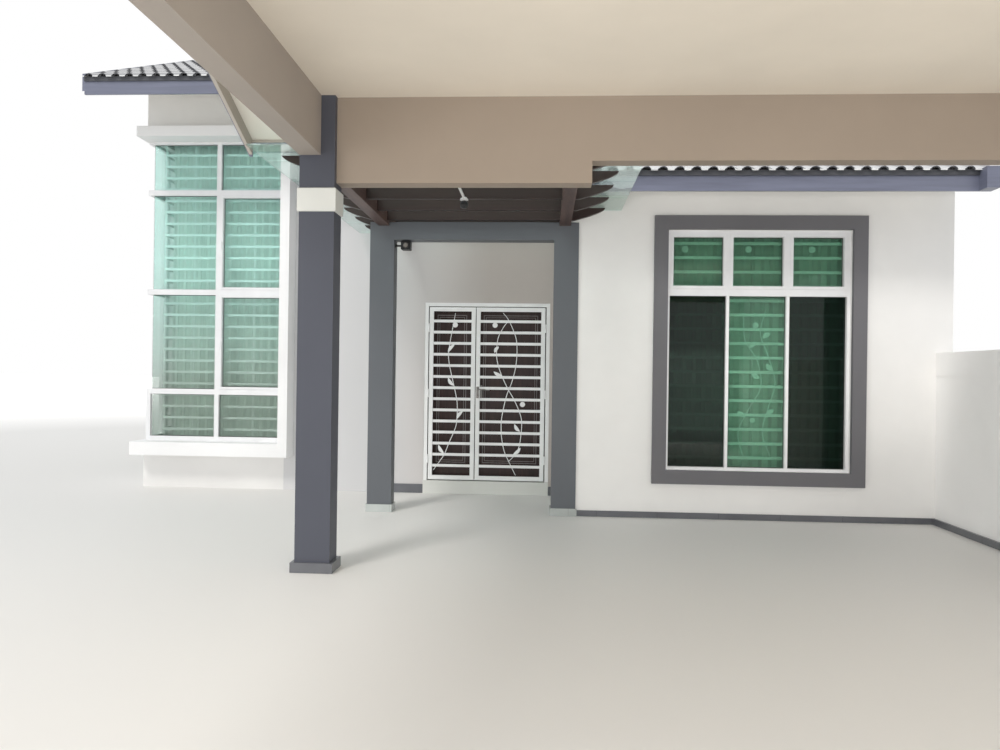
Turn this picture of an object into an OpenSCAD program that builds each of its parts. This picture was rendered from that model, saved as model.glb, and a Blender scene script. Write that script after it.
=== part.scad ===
// Single-storey house at the end of a row: a high living room with a corner window, a lower
// bedroom wing, an entrance portal with a timber pergola, and a car porch in front.
// Millimetres, +Z up. The origin is on the ground under the doorway, on the entrance axis and
// in the plane of the entrance wall's outer face. The front of the house looks towards -Y.

/* [House] */
// From the entrance axis to the left wall's outer face
left_reach = 4050; // [3900:10:4500]
// From the entrance axis to the party wall's inner face
party_reach = 4560; // [4450:10:5200]
// From the entrance wall's outer face to the rear wall's outer face
house_depth = 7730; // [7400:10:9500]
// How far the bedroom's front wall stands in front of the entrance wall
recess = 1270; // [1100:10:1500]
// Thickness of the masonry walls
wall_t = 150; // [120:5:200]
// Height of the floor above the ground
floor_h = 150; // [100:5:200]
// Underside of the cross wall beside the low roof over the portal's clear height
cross_wall_rise = 145; // [45:5:245]

/* [Roofs] */
// Roof pitch in degrees
pitch = 25; // [20:0.5:28]
// Upright thickness of a roof slope, tiles included
roof_t = 140; // [110:5:180]
// Upright thickness of the tile layer over a fascia
tile_t = 45; // [35:1:60]
// How far the tiles reach past a fascia
tile_nose = 45; // [30:1:60]
// Thickness of the fascia and barge boards
board_t = 25; // [18:1:35]
// Height of the house's fascia boards
fascia_h = 190; // [150:5:220]
// How far a barge board hangs below a roof slope
barge_drop = 60; // [30:5:90]
// Top of the fascia on the high roof
high_fascia_top = 4570; // [4520:10:4800]
// Eave of the high roof in front of the entrance wall
high_eave = 920; // [700:10:1050]
// Eave of the low roof in front of the bedroom wall
low_eave = 630; // [500:10:750]
// Eave of both roofs behind the rear wall
rear_eave = 630; // [450:10:750]
// Verge of the high roof beyond the left wall
left_verge = 250; // [150:10:350]
// Verge of the high roof over the low roof
inner_verge = 150; // [80:10:250]
// Verge of the low roof over the foyer
low_verge = 75; // [50:5:85]
// Radius of the ridge tiles
ridge_r = 120; // [90:5:150]
// How far the ridge tiles' centre lies under the ridge line
ridge_sink = 45; // [30:5:60]
// Gap between a slope and what stands under it or lies on it
slope_gap = 0.3; // [0.2:0.1:1]
// Width of the boxed end of the low roof's fascia on the party line
end_box_w = 115; // [80:5:140]
// How far the boxed end stands in front of the fascia
end_box_proud = 125; // [80:5:150]

/* [Portal] */
// Middle of the portal and pergola from the entrance axis
portal_shift = 20; // [0:5:30]
// Clear width between the portal's columns
portal_w = 1615; // [1580:5:1640]
// Width of a portal column
portal_post = 245; // [230:5:280]
// How far the portal stands in front of the bedroom wall
portal_proud = 20; // [10:1:30]
// Clear height under the portal's lintel
portal_h = 2755; // [2650:5:2790]
// Height of the portal's lintel
lintel_h = 175; // [130:5:200]
// How far the foyer's side wall is set in from the portal's outer edge
side_inset = 80; // [60:5:90]
// Height of the portal's plinths
plinth_h = 75; // [50:5:120]
// How far a plinth stands proud of its column
plinth_proud = 12; // [8:1:25]

/* [Entrance door] */
// Width of the doorway
door_w = 1468; // [1380:4:1480]
// Height of the doorway above the floor
door_h = 2090; // [2000:10:2200]
// Middle of the doorway from the entrance axis
door_shift = 71; // [50:1:75]
// How far the threshold stands in front of the entrance wall
threshold_proud = 20; // [10:1:40]
// Width of the grille's fixed frame
grille_frame_w = 42; // [35:1:60]
// Depth of the grille's fixed frame
grille_frame_d = 45; // [40:1:60]
// Set-back of the grille behind the entrance wall's face
grille_setback = 6; // [0:1:10]
// Thickness of a grille leaf
grille_t = 30; // [25:1:36]
// Width of the stiles and rails of a grille leaf
grille_stile = 48; // [40:1:60]
// Share of the doorway that the narrow leaves take, in per cent
narrow_share = 41; // [38:1:46]
// Number of flat bars in a grille leaf
bar_count = 14; // [10:1:18]
// Height of a flat bar
bar_h = 32; // [20:1:45]
// Thickness of a flat bar
bar_t = 8; // [6:1:14]
// Gap between a leaf and its frame
hinge_gap = 12; // [11:1:16]
// Gap between two leaves where they meet
meeting_gap = 10; // [10:1:14]
// Gap under the leaves
foot_gap = 12; // [8:1:20]
// Width of the timber door's frame
timber_frame_w = 50; // [40:1:60]
// Depth of the timber door's frame
timber_frame_d = 62; // [56:1:70]
// Thickness of a timber leaf
timber_t = 40; // [35:1:50]
// Radius of a hinge barrel
barrel_r = 9; // [8:0.5:11]
// Radius of a hinge pin
pin_r = 4; // [3:0.25:4]
// Running clearance of a pin in its barrel
pin_clear = 0.05; // [0.02:0.01:0.1]
// Length of a hinge with both its barrels
hinge_l = 100; // [60:5:120]
// Gap between the two barrels of a hinge
barrel_gap = 0.3; // [0.2:0.1:1]
// Width of a hinge strap on its frame or leaf
strap_w = 26; // [15:1:30]
// Thickness of a hinge strap
strap_t = 3.5; // [2:0.25:3.5]
// Height of the grille's lock above the floor
lock_h = 1040; // [900:10:1150]
// Length of the lock's plate
lock_l = 150; // [100:5:200]
// How far the lock's plate stands proud of its leaf
lock_proud = 6; // [3:1:10]

/* [Corner window] */
// Width of the corner window from the left wall's outer face
bay_w = 1715; // [1600:5:1800]
// Length of its return along the left wall
bay_return = 450; // [350:10:500]
// Height of its sill
bay_sill_z = 560; // [500:5:650]
// Height of its head
bay_head_z = 4140; // [4050:5:4160]
// How far its hood, jamb and sill project
bay_out = 235; // [180:5:300]
// How far its sill and return stand proud of the left wall
bay_side_proud = 50; // [30:5:80]
// How far its hood stands proud of the left wall
hood_side_proud = 10; // [5:5:25]
// Thickness of its hood
hood_t = 120; // [100:5:140]
// Thickness of its sill
sill_t = 155; // [120:5:180]
// Width of its jamb
jamb_w = 110; // [90:5:140]
// Height from its sill to the middle of the lowest transom
bay_low_row = 589; // [520:5:650]
// Distance between the middles of its transoms
bay_mid_row = 1192; // [1100:5:1220]
// Height of its transoms
bay_bar_h = 64; // [50:1:75]
// Width of its mullion and end posts
bay_post_w = 52; // [45:1:70]
// How far its mullion stands left of the middle
bay_mid_shift = 8; // [0:1:20]
// Width of its casement frames
casement_w = 30; // [25:1:45]
// Depth of the aluminium frames
frame_d = 45; // [35:1:60]
// Set-back of the corner window's frame behind the wall
bay_setback = 15; // [8:1:25]
// Thickness of the window glass
glass_t = 8; // [5:1:12]

/* [Windows] */
// Width of a window opening
win_w = 1790; // [1600:5:1850]
// Height of a window opening
win_h = 2385; // [2200:5:2400]
// Height of a window's sill
win_sill_z = 480; // [440:5:500]
// Width of the raised surround
surround_w = 135; // [100:5:150]
// How far the surround stands proud
surround_proud = 45; // [30:1:60]
// Set-back of the window frame behind the wall face
win_setback = 40; // [25:1:50]
// Width of the outer frame
win_frame_w = 30; // [20:1:40]
// Width of a sash frame in the top lights
sash_w = 34; // [28:1:50]
// Height of the transom
win_transom_h = 66; // [50:1:80]
// Height of the top lights, from the transom's middle to the head
top_light_h = 617; // [560:1:680]
// Distance from the entrance axis to the middle of the bedroom windows
bedroom_win_x = 2850; // [2700:10:2960]
// Distance from the entrance axis to the middle of the living room's rear window
rear_win_x = 1450; // [1200:10:1700]
// Middle of the first window in the left wall
side_win_y1 = 2300; // [2000:10:2600]
// Middle of the second window in the left wall
side_win_y2 = 5500; // [5000:10:5800]

/* [Curtains] */
// Thickness of a curtain's folds
curtain_t = 70; // [50:5:90]
// Distance from the wall's inner face to the curtain
curtain_off = 70; // [60:5:100]
// How far a curtain passes its window on each side
curtain_side = 60; // [40:5:100]
// How far a curtain hangs below the sill
curtain_below = 120; // [60:10:200]
// How far a rail lies above the head
rail_above = 60; // [40:5:100]
// Height and depth of a curtain rail
rail_s = 25; // [20:1:35]
// Gap between a curtain and its rail
curtain_gap = 0.3; // [0.2:0.1:1]

/* [Car porch] */
// From the bedroom wall to the porch's rear face
porch_off = 2243; // [2100:1:2600]
// Depth of the porch over its columns
porch_d = 5357; // [4800:1:5600]
// From the entrance axis to the porch's left face
porch_left = 987; // [950:5:1030]
// How far the right porch columns' inner faces stand inside the party wall's inner face
column_in = 160; // [120:10:260]
// Width of a porch column
column_s = 250; // [220:5:300]
// Depth of a porch column
column_d = 185; // [170:5:260]
// Thickness of the rear and front beams
beam_t = 135; // [110:5:160]
// Thickness of the side beams
side_beam_t = 150; // [120:5:180]
// Underside of the rear and front beams over the portal's clear height
beam_rise = 135; // [95:5:155]
// How far the deep part of the rear beam hangs below the rest of it
beam_step_h = 155; // [90:5:170]
// Underside of the side beams over the portal's clear height
side_beam_rise = 165; // [105:5:205]
// Distance from the entrance axis to the step in the rear beam
beam_step_x = 1056; // [900:2:1300]
// Thickness of the porch ceiling
ceiling_t = 20; // [12:1:25]
// Gap between the porch ceiling and the roof slopes at the beams
ceiling_gap = 11; // [2:1:30]
// Eave of the porch roof beyond its beams
porch_eave = 313; // [275:1:340]
// Verge of the porch roof beyond its left face
porch_verge = 553; // [450:5:600]
// How far the porch's barge board hangs below its slope
porch_barge_drop = 110; // [80:5:140]
// Height of the porch's fascia
porch_fascia_h = 105; // [90:5:130]
// Height of the collars
collar_h = 165; // [120:5:170]
// Gap between a collar and the deep part of the rear beam
collar_gap = 45; // [20:5:100]
// How far a collar stands proud
collar_proud = 12; // [8:1:25]
// Height of the columns' skirting
skirt_h = 70; // [50:5:100]
// How far the columns' skirting stands proud
skirt_proud = 25; // [15:1:35]
// Height of the skirting on the bedroom wall
wall_skirt_h = 60; // [50:5:90]
// Height of the skirting on the entrance wall
foyer_skirt_h = 104; // [80:2:130]
// Thickness of the wall skirtings
wall_skirt_t = 12; // [8:1:15]
// Thickness of the boundary wall's skirting
bound_skirt_t = 25; // [20:1:35]

/* [Boundary wall] */
// Height of the boundary wall on the party line
bound_h = 1670; // [1500:10:1800]
// Height of its coping band
coping_h = 223; // [150:5:260]
// How far the coping stands proud
coping_proud = 8; // [5:1:18]

/* [Pergola] */
// Width of a rafter
rafter_w = 110; // [90:5:120]
// How far the rafters hang down in front of the lintel
rafter_drop = 36; // [15:1:60]
// Gap between the right rafter and the foyer's side wall
rafter_gap = 5; // [2:1:15]
// Depth of the rafters and purlins
timber_d = 120; // [100:5:140]
// Thickness of a purlin
purlin_t = 45; // [35:1:60]
// Distance between purlins
purlin_pitch = 455; // [440:5:460]
// From the porch's rear face to the first purlin
purlin_start = 283; // [250:1:300]
// Number of purlins in front of the portal
purlin_front = 5; // [5:1:5]
// Number of purlins over the foyer
purlin_back = 2; // [1:1:2]
// From the pergola's middle to the purlins' tips
purlin_reach = 1300; // [1250:5:1400]
// Length of a purlin's curved tail
tail_l = 300; // [260:5:310]
// How far a tail's lower edge bows from a straight line, as a share of a quarter ellipse
tail_bow = 0.4; // [0.2:0.05:0.9]
// Width of a glass sheet along the pergola
sheet_w = 600; // [500:10:700]
// Joint between glass sheets
sheet_gap = 10; // [5:1:20]
// Thickness of the roof glass
roof_glass_t = 10; // [8:1:14]
// How far the glass reaches past the purlins' tips
glass_past = 170; // [100:5:180]
// Gap between the pergola's glass and the low roof's fascia over it
low_roof_gap = 40; // [20:5:100]
// Gap between the pergola's glass and the porch's fascia over it
porch_roof_gap = 90; // [60:5:140]

/* [Lamps] */
// Distance from the entrance axis to the arm lamp
arm_x = 95; // [0:5:300]
// Height of the arm lamp over the portal's clear height
arm_rise = 33; // [21:2:65]
// Length of its arm
arm_l = 585; // [450:5:640]
// Radius of its arm
arm_r = 12; // [8:1:16]
// Radius of its head
head_r = 34; // [25:1:45]
// Length of its head
head_l = 85; // [60:5:110]
// Width of the portal lamp's box
spot_w = 100; // [60:5:120]
// Height of the portal lamp's box
spot_h = 90; // [60:5:105]
// Length of the portal lamp's box
spot_l = 120; // [80:5:140]
// Length of the portal lamp's bracket
spot_arm = 60; // [25:5:80]
// Gap between the portal lamp and the lintel
spot_gap = 6; // [5:1:30]

/* [Hidden] */
// Small overlap that lets a cut pass a face
eps = 1;

// Planes of the house
x_left = -left_reach;
x_left_in = x_left + wall_t;
x_party = party_reach;
x_party_out = x_party + wall_t;
y_front = -recess;
y_front_in = y_front + wall_t;
y_wall_in = wall_t;
y_rear = house_depth;
y_rear_in = y_rear - wall_t;
portal_xs = [portal_shift - portal_w / 2 - portal_post, portal_shift + portal_w / 2];
portal_out = portal_xs[1] + portal_post;
x_side = portal_out - side_inset;
x_side_in = x_side + wall_t;
y_portal = y_front - portal_proud;
y_portal_back = y_front_in;

// Doorway
door_x0 = door_shift - door_w / 2;
door_x1 = door_shift + door_w / 2;
door_top = floor_h + door_h;

// Corner window
x_bay = x_left + bay_w;
bay_transoms = [bay_sill_z + bay_low_row, bay_sill_z + bay_low_row + bay_mid_row,
  bay_sill_z + bay_low_row + 2 * bay_mid_row];
y_bay_frame = bay_setback;
x_bay_frame = x_left + bay_setback;
x_bay_mid = (x_bay_frame + frame_d + x_bay) / 2 - bay_mid_shift;

// Porch
y_porch = y_front - porch_off;
y_porch_front = y_porch - porch_d;
x_porch = -porch_left;
x_column_r = x_party - column_in;

// Levels of the cross wall, the porch's beams, the arm lamp, the pergola and the fascia boards over it
cross_wall_z = portal_h + cross_wall_rise;
beam_z = portal_h + beam_rise;
deep_beam_z = beam_z - beam_step_h;
side_beam_z = portal_h + side_beam_rise;
collar_z = deep_beam_z - collar_gap - collar_h;
arm_z = portal_h + arm_rise;
timber_z = portal_h + lintel_h;
timber_top = timber_z + timber_d;
glass_top = timber_top + roof_glass_t;
low_fascia_top = glass_top + low_roof_gap + fascia_h;
porch_fascia_top = glass_top + porch_roof_gap + porch_fascia_h;

// Roofs as front eave, rear eave and top of the fascia
high_roof = [-high_eave, y_rear + rear_eave, high_fascia_top];
low_roof = [y_front - low_eave, y_rear + rear_eave, low_fascia_top];
porch_roof = [y_porch_front - porch_eave, y_porch + porch_eave, porch_fascia_top];
function ridge_y(r) = (r[0] + r[1]) / 2;
function roof_z(r, y) = r[2] + tile_t + min(y - r[0], r[1] - y) * tan(pitch);
function soffit_z(r, y) = roof_z(r, y) - roof_t;
function under_z(r, y) = soffit_z(r, y) - slope_gap;
ceiling_z = soffit_z(porch_roof, y_porch - beam_t) - ceiling_gap - ceiling_t;

// Windows as the middle of the opening on the wall's outer face, and the turn
windows = [[bedroom_win_x, y_front, 0], [x_left, side_win_y1, -90], [x_left, side_win_y2, -90],
  [-rear_win_x, y_rear, 180], [bedroom_win_x, y_rear, 180]];
win_head_z = win_sill_z + win_h;
win_transom_z = win_head_z - top_light_h;

// Pergola
x_rafter_r = x_side - rafter_gap - rafter_w / 2;
rafter_xs = [2 * portal_shift - x_rafter_r, x_rafter_r];
x_rafter_edge = x_rafter_r + rafter_w / 2;
y_first_purlin = y_porch + purlin_start;
purlins = [for (k = [0 : purlin_front + purlin_back - 1]) y_first_purlin + k * purlin_pitch];
x_glass = purlin_reach + glass_past;

// Colours
plaster = "#efeae4";
shade = "#b8aca0";
slate = "#5b6069";
fascia_blue = "#6f7688";
tile_grey = "#5c5f63";
charcoal = "#3d4147";
white_metal = "#f2f3f4";
timber_brown = "#4a332b";
green_glass = "#7fb8a0";

// A profile of (y, z) points carried along X
module along_x(x0, x1) {
  translate([x0, 0, 0]) rotate([90, 0, 90]) linear_extrude(x1 - x0) children();
}

// A profile of (x, z) points carried along Y
module along_y(y0, y1) {
  translate([0, y1, 0]) rotate([90, 0, 0]) linear_extrude(y1 - y0) children();
}

module block(x0, x1, y0, y1, z0, z1) {
  translate([x0, y0, z0]) cube([x1 - x0, y1 - y0, z1 - z0]);
}

// A wall along X from z0 up to a roof's underside, which slopes over its thickness
module wall_under(r, x0, x1, y0, y1, z0) {
  along_x(x0, x1) polygon([[y0, z0], [y1, z0], [y1, under_z(r, y1)], [y0, under_z(r, y0)]]);
}

// A wall along Y from z0 up to a roof's underside, with the ridge in its length where it passes it
module gable_wall(r, x0, x1, y0, y1, z0) {
  m = ridge_y(r);
  peak = y0 < m && m < y1 ? [[m, under_z(r, m)]] : [];
  along_x(x0, x1)
    polygon(concat([[y0, z0], [y1, z0], [y1, under_z(r, y1)]], peak, [[y0, under_z(r, y0)]]));
}

module at_window(w) {
  translate([w[0], w[1], 0]) rotate([0, 0, w[2]]) children();
}

module window_cuts() {
  for (w = windows) at_window(w)
    block(-win_w / 2, win_w / 2, -eps, wall_t + eps, win_sill_z, win_head_z);
}

// Masonry

module floor_slab() {
  color("#c9c6c0") linear_extrude(floor_h) polygon([[x_left_in, y_wall_in], [x_side_in, y_wall_in],
    [x_side_in, y_front_in], [x_party, y_front_in], [x_party, y_rear_in], [x_left_in, y_rear_in]]);
}

module door_threshold() {
  color("#d8d5cf") block(door_x0, door_x1, -threshold_proud, y_wall_in, 0, floor_h);
}

module front_wall() {
  color(plaster) difference() {
    union() {
      wall_under(low_roof, portal_out, x_party, y_front, y_front_in, 0);
      wall_under(low_roof, x_side, portal_out, y_front, y_front_in, timber_z);
    }
    window_cuts();
  }
}

module foyer_side_wall() {
  color(plaster) gable_wall(low_roof, x_side, x_side_in, y_front_in, 0, 0);
}

module entrance_wall() {
  color(plaster) {
    wall_under(high_roof, x_bay, door_x0, 0, y_wall_in, 0);
    wall_under(high_roof, door_x1, x_side, 0, y_wall_in, 0);
    block(x_side, x_side_in, 0, y_wall_in, 0, cross_wall_z);
  }
}

module entrance_wall_head() {
  color(plaster) wall_under(high_roof, door_x0, door_x1, 0, y_wall_in, door_top);
}

module bay_wall() {
  color(plaster) {
    block(x_left, x_bay, 0, y_wall_in, 0, bay_sill_z);
    wall_under(high_roof, x_left, x_bay, 0, y_wall_in, bay_head_z);
  }
}

module left_wall() {
  color(plaster) difference() {
    gable_wall(high_roof, x_left, x_left_in, y_wall_in, y_rear, 0);
    window_cuts();
    block(x_left - eps, x_left_in + eps, 0, bay_return, bay_sill_z, bay_head_z);
  }
}

module rear_wall() {
  color(plaster) difference() {
    union() {
      wall_under(high_roof, x_left_in, x_side_in, y_rear_in, y_rear, 0);
      wall_under(low_roof, x_side_in, x_party, y_rear_in, y_rear, 0);
    }
    window_cuts();
  }
}

module cross_wall() {
  color(plaster) gable_wall(high_roof, x_side, x_side_in, 0, y_rear_in, cross_wall_z);
}

module party_wall() {
  color(plaster) gable_wall(low_roof, x_party, x_party_out, y_front, y_rear, 0);
}

// Roofs

// One slope, with its eave end over the fascia; side is 1 for the front and -1 for the rear
module slope(r, side, x0, x1) {
  e = side > 0 ? r[0] : r[1];
  m = ridge_y(r);
  back = e + side * board_t;
  along_x(x0, x1) polygon([[e - side * tile_nose, r[2]],
    [e - side * tile_nose, roof_z(r, e - side * tile_nose)], [m, roof_z(r, m)],
    [m, soffit_z(r, m)], [back, soffit_z(r, back)], [back, r[2]]]);
}

module high_roof_front() {
  color(tile_grey) slope(high_roof, 1, x_left - left_verge + board_t, x_side_in + inner_verge - board_t);
}

module high_roof_rear() {
  color(tile_grey) slope(high_roof, -1, x_left - left_verge + board_t, x_side_in + inner_verge - board_t);
}

module low_roof_front() {
  color(tile_grey) difference() {
    slope(low_roof, 1, x_side - low_verge + board_t, x_party_out);
    block(x_side - low_verge, x_side_in, 0, y_rear, 0, high_fascia_top + roof_z(low_roof, y_rear));
  }
}

module low_roof_rear() {
  color(tile_grey) slope(low_roof, -1, x_side_in, x_party_out);
}

module porch_roof_front() {
  color(tile_grey) slope(porch_roof, 1, x_porch - porch_verge + board_t, x_party_out);
}

module porch_roof_rear() {
  color(tile_grey) slope(porch_roof, -1, x_porch - porch_verge + board_t, x_party_out);
}

module ridge_run(r, x0, x1) {
  m = ridge_y(r);
  peak = roof_z(r, m) + slope_gap;
  fall = 2 * ridge_r * tan(pitch);
  difference() {
    translate([x0, m, roof_z(r, m) - ridge_sink]) rotate([0, 90, 0]) cylinder(r = ridge_r, h = x1 - x0, $fn = 32);
    along_x(x0 - eps, x1 + eps) polygon([[m - 2 * ridge_r, peak - fall], [m, peak],
      [m + 2 * ridge_r, peak - fall], [m, peak - 4 * ridge_r]]);
  }
}

module ridge_tiles() {
  color(tile_grey) {
    ridge_run(high_roof, x_left - left_verge, x_side_in + inner_verge);
    ridge_run(low_roof, x_side_in, x_party_out);
    ridge_run(porch_roof, x_porch - porch_verge, x_party_out);
  }
}

module fascia(r, side, x0, x1, h) {
  e = side > 0 ? r[0] : r[1];
  block(x0, x1, min(e, e + side * board_t), max(e, e + side * board_t), r[2] - h, r[2]);
}

module fascia_boards() {
  color(fascia_blue) {
    for (side = [1, -1]) {
      fascia(high_roof, side, x_left - left_verge + board_t, x_side_in + inner_verge - board_t, fascia_h);
      fascia(low_roof, side, side > 0 ? x_side - low_verge + board_t : x_side_in, x_party_out, fascia_h);
      fascia(porch_roof, side, x_porch - porch_verge + board_t, x_party_out, porch_fascia_h);
    }
    block(x_party_out - end_box_w, x_party_out, low_roof[0] - end_box_proud, low_roof[0],
      low_fascia_top - fascia_h, low_fascia_top);
  }
}

// A board along a verge from y0 to y1, under the tiles' edge
module barge(r, x0, y0, y1, drop) {
  m = ridge_y(r);
  hang = roof_t + drop;
  top = tile_t / 4;
  over = m < y1 ? [m] : [];
  along_x(x0, x0 + board_t) polygon(concat(
    [for (y = concat([y0], over, [y1])) [y, roof_z(r, y) - top]],
    [for (y = concat([y1], over, [y0])) [y, roof_z(r, y) - hang]]));
}

module barge_boards() {
  color(fascia_blue) {
    barge(high_roof, x_left - left_verge, high_roof[0], high_roof[1], barge_drop);
    barge(high_roof, x_side_in + inner_verge - board_t, high_roof[0], high_roof[1], barge_drop);
    barge(low_roof, x_side - low_verge, low_roof[0], 0, barge_drop);
    barge(porch_roof, x_porch - porch_verge, porch_roof[0], porch_roof[1], porch_barge_drop);
  }
}

// Windows

// Hood, jamb and sill in one projecting frame that turns the corner
module bay_surround() {
  x0 = x_left - bay_side_proud;
  x_hood = x_left - hood_side_proud;
  color(plaster) {
    block(x0, x_bay + jamb_w, -bay_out, 0, bay_sill_z - sill_t, bay_sill_z);
    block(x0, x_left, 0, bay_return + jamb_w, bay_sill_z - sill_t, bay_sill_z);
    block(x_bay, x_bay + jamb_w, -bay_out, 0, bay_sill_z, bay_head_z);
    block(x_hood, x_bay + jamb_w, -bay_out, 0, bay_head_z, bay_head_z + hood_t);
    block(x_hood, x_left, 0, bay_return + jamb_w, bay_head_z, bay_head_z + hood_t);
    block(x0, x_left, bay_return, bay_return + jamb_w, bay_sill_z, bay_head_z);
  }
}

module window_surrounds() {
  color(slate) for (w = windows) at_window(w) difference() {
    block(-win_w / 2 - surround_w, win_w / 2 + surround_w, -surround_proud, 0,
      win_sill_z - surround_w, win_head_z + surround_w);
    block(-win_w / 2, win_w / 2, -surround_proud - eps, eps, win_sill_z, win_head_z);
  }
}

// A plate in the wall's plane with holes, given as x0, x1, z0, z1
module plate(x0, x1, z0, z1, holes) {
  along_y(win_setback, win_setback + frame_d) difference() {
    translate([x0, z0]) square([x1 - x0, z1 - z0]);
    for (h = holes) translate([h[0], h[2]]) square([h[1] - h[0], h[3] - h[2]]);
  }
}

module window_frame() {
  half = win_w / 2;
  bay = (win_w - win_frame_w) / 3;
  plate(-half, half, win_sill_z, win_head_z, concat(
    [for (k = [0 : 2]) let (x = -half + win_frame_w + k * bay)
      [x, x + bay - win_frame_w, win_sill_z + win_frame_w, win_transom_z - win_transom_h / 2]],
    [for (k = [0 : 2]) let (x = -half + win_frame_w + k * bay)
      [x + sash_w, x + bay - win_frame_w - sash_w, win_transom_z + win_transom_h / 2 + sash_w,
        win_head_z - win_frame_w - sash_w]]));
}

// The corner window's frame: a front plate and a plate along the return, without a corner post
module bay_frame() {
  z = concat([bay_sill_z], bay_transoms, [bay_head_z]);
  low = [for (k = [0 : 3]) z[k] + (k == 0 ? bay_post_w : bay_bar_h / 2)];
  high = [for (k = [0 : 3]) z[k + 1] - (k == 3 ? bay_post_w / 2 : bay_bar_h / 2)];
  x_a = x_bay_mid - bay_post_w / 2;
  x_b = x_bay_mid + bay_post_w / 2;
  x_c = x_bay - bay_post_w;
  sash = [for (k = [0 : 3]) k == 1 || k == 2 ? casement_w : 0];
  union() {
    along_y(y_bay_frame, y_bay_frame + frame_d) difference() {
      translate([x_bay_frame, bay_sill_z]) square([x_bay - x_bay_frame, bay_head_z - bay_sill_z]);
      for (k = [0 : 3]) {
        translate([x_bay_frame - eps, low[k]]) square([x_a - x_bay_frame + eps, high[k] - low[k]]);
        translate([x_b + sash[k], low[k] + sash[k]])
          square([x_c - x_b - 2 * sash[k], high[k] - low[k] - 2 * sash[k]]);
      }
    }
    along_x(x_bay_frame, x_bay_frame + frame_d) difference() {
      translate([y_bay_frame, bay_sill_z]) square([bay_return - y_bay_frame, bay_head_z - bay_sill_z]);
      for (k = [0 : 3]) translate([y_bay_frame - eps, low[k]])
        square([bay_return - y_bay_frame - bay_post_w + eps, high[k] - low[k]]);
    }
    block(x_bay_frame, x_bay_frame + bay_post_w, y_bay_frame, y_bay_frame + frame_d, bay_sill_z,
      bay_transoms[0]);
  }
}

module window_frames() {
  color(white_metal) {
    for (w = windows) at_window(w) window_frame();
    bay_frame();
  }
}

module window_glass() {
  color(green_glass) {
    for (w = windows) at_window(w) block(-win_w / 2, win_w / 2, win_setback + frame_d,
      win_setback + frame_d + glass_t, win_sill_z, win_head_z);
    difference() {
      block(x_bay_frame + frame_d, x_bay, y_bay_frame + frame_d, bay_return, bay_sill_z, bay_head_z);
      block(x_bay_frame + frame_d + glass_t, x_bay + eps, y_bay_frame + frame_d + glass_t,
        bay_return + eps, bay_sill_z - eps, bay_head_z + eps);
    }
  }
}

// Curtains hang behind the windows; the corner window has one along its front
curtain_y0 = wall_t + curtain_off;
module curtain(x0, x1, sill, head) {
  block(x0, x1, curtain_y0, curtain_y0 + curtain_t, sill - curtain_below,
    head + rail_above - curtain_gap);
}

module curtain_rail(x0, x1, head) {
  y_rail = curtain_y0 + (curtain_t - rail_s) / 2;
  z_rail = head + rail_above;
  block(x0, x1, y_rail, y_rail + rail_s, z_rail, z_rail + rail_s);
  for (x = [x0, x1 - rail_s]) block(x, x + rail_s, wall_t, y_rail, z_rail, z_rail + rail_s);
}

bay_curtain_x0 = x_left_in + curtain_side;
bay_curtain_x1 = x_bay + curtain_side;

module curtains() {
  color("#d9e4dc") {
    for (w = windows) at_window(w)
      curtain(-win_w / 2 - curtain_side, win_w / 2 + curtain_side, win_sill_z, win_head_z);
    curtain(bay_curtain_x0, bay_curtain_x1, bay_sill_z, bay_head_z);
  }
}

module curtain_rails() {
  color(white_metal) {
    for (w = windows) at_window(w)
      curtain_rail(-win_w / 2 - curtain_side, win_w / 2 + curtain_side, win_head_z);
    curtain_rail(bay_curtain_x0, bay_curtain_x1, bay_head_z);
  }
}

// Entrance door

// The steel grille opens outwards and the timber door opens inwards, each on its own pins
y_grille = grille_setback;
y_timber = y_wall_in - timber_frame_d;
y_timber_leaf = y_wall_in - timber_t;
x_meet = door_x0 + door_w * narrow_share / 100;
leaf_z0 = floor_h + foot_gap;
grille_x0 = door_x0 + grille_frame_w;
grille_x1 = door_x1 - grille_frame_w;
grille_z1 = door_top - grille_frame_w - meeting_gap;
timber_x0 = door_x0 + timber_frame_w;
timber_x1 = door_x1 - timber_frame_w;
timber_z1 = door_top - timber_frame_w - meeting_gap;
function hinge_zs(z1) = [for (f = [0.12, 0.5, 0.88]) leaf_z0 + (z1 - leaf_z0) * f];

module doorway_frame(w, y0, d) {
  block(door_x0, door_x0 + w, y0, y0 + d, floor_h, door_top);
  block(door_x1 - w, door_x1, y0, y0 + d, floor_h, door_top);
  block(door_x0, door_x1, y0, y0 + d, door_top - w, door_top);
}

// Half of a lift-off hinge: a barrel in front of the gap and a strap on its own side's face.
// toward is the side that carries it, along X; out is the side of the face that it stands on, along Y
module hinge_half(x, toward, y_face, out, z, h) {
  reach = x + toward * (hinge_gap / 2 + strap_w);
  translate([x, y_face + out * barrel_r, z]) cylinder(r = barrel_r, h = h, $fn = 32);
  block(min(x, reach), max(x, reach), min(y_face, y_face + out * strap_t),
    max(y_face, y_face + out * strap_t), z, z + h);
}

// Lower barrels with their pins, on the frame
module frame_hinges(x, toward, y_face, out, z1) {
  for (z = hinge_zs(z1)) {
    hinge_half(x, toward, y_face, out, z - hinge_l / 2, (hinge_l - barrel_gap) / 2);
    translate([x, y_face + out * barrel_r, z - hinge_l / 2]) cylinder(r = pin_r, h = hinge_l, $fn = 32);
  }
}

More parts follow.
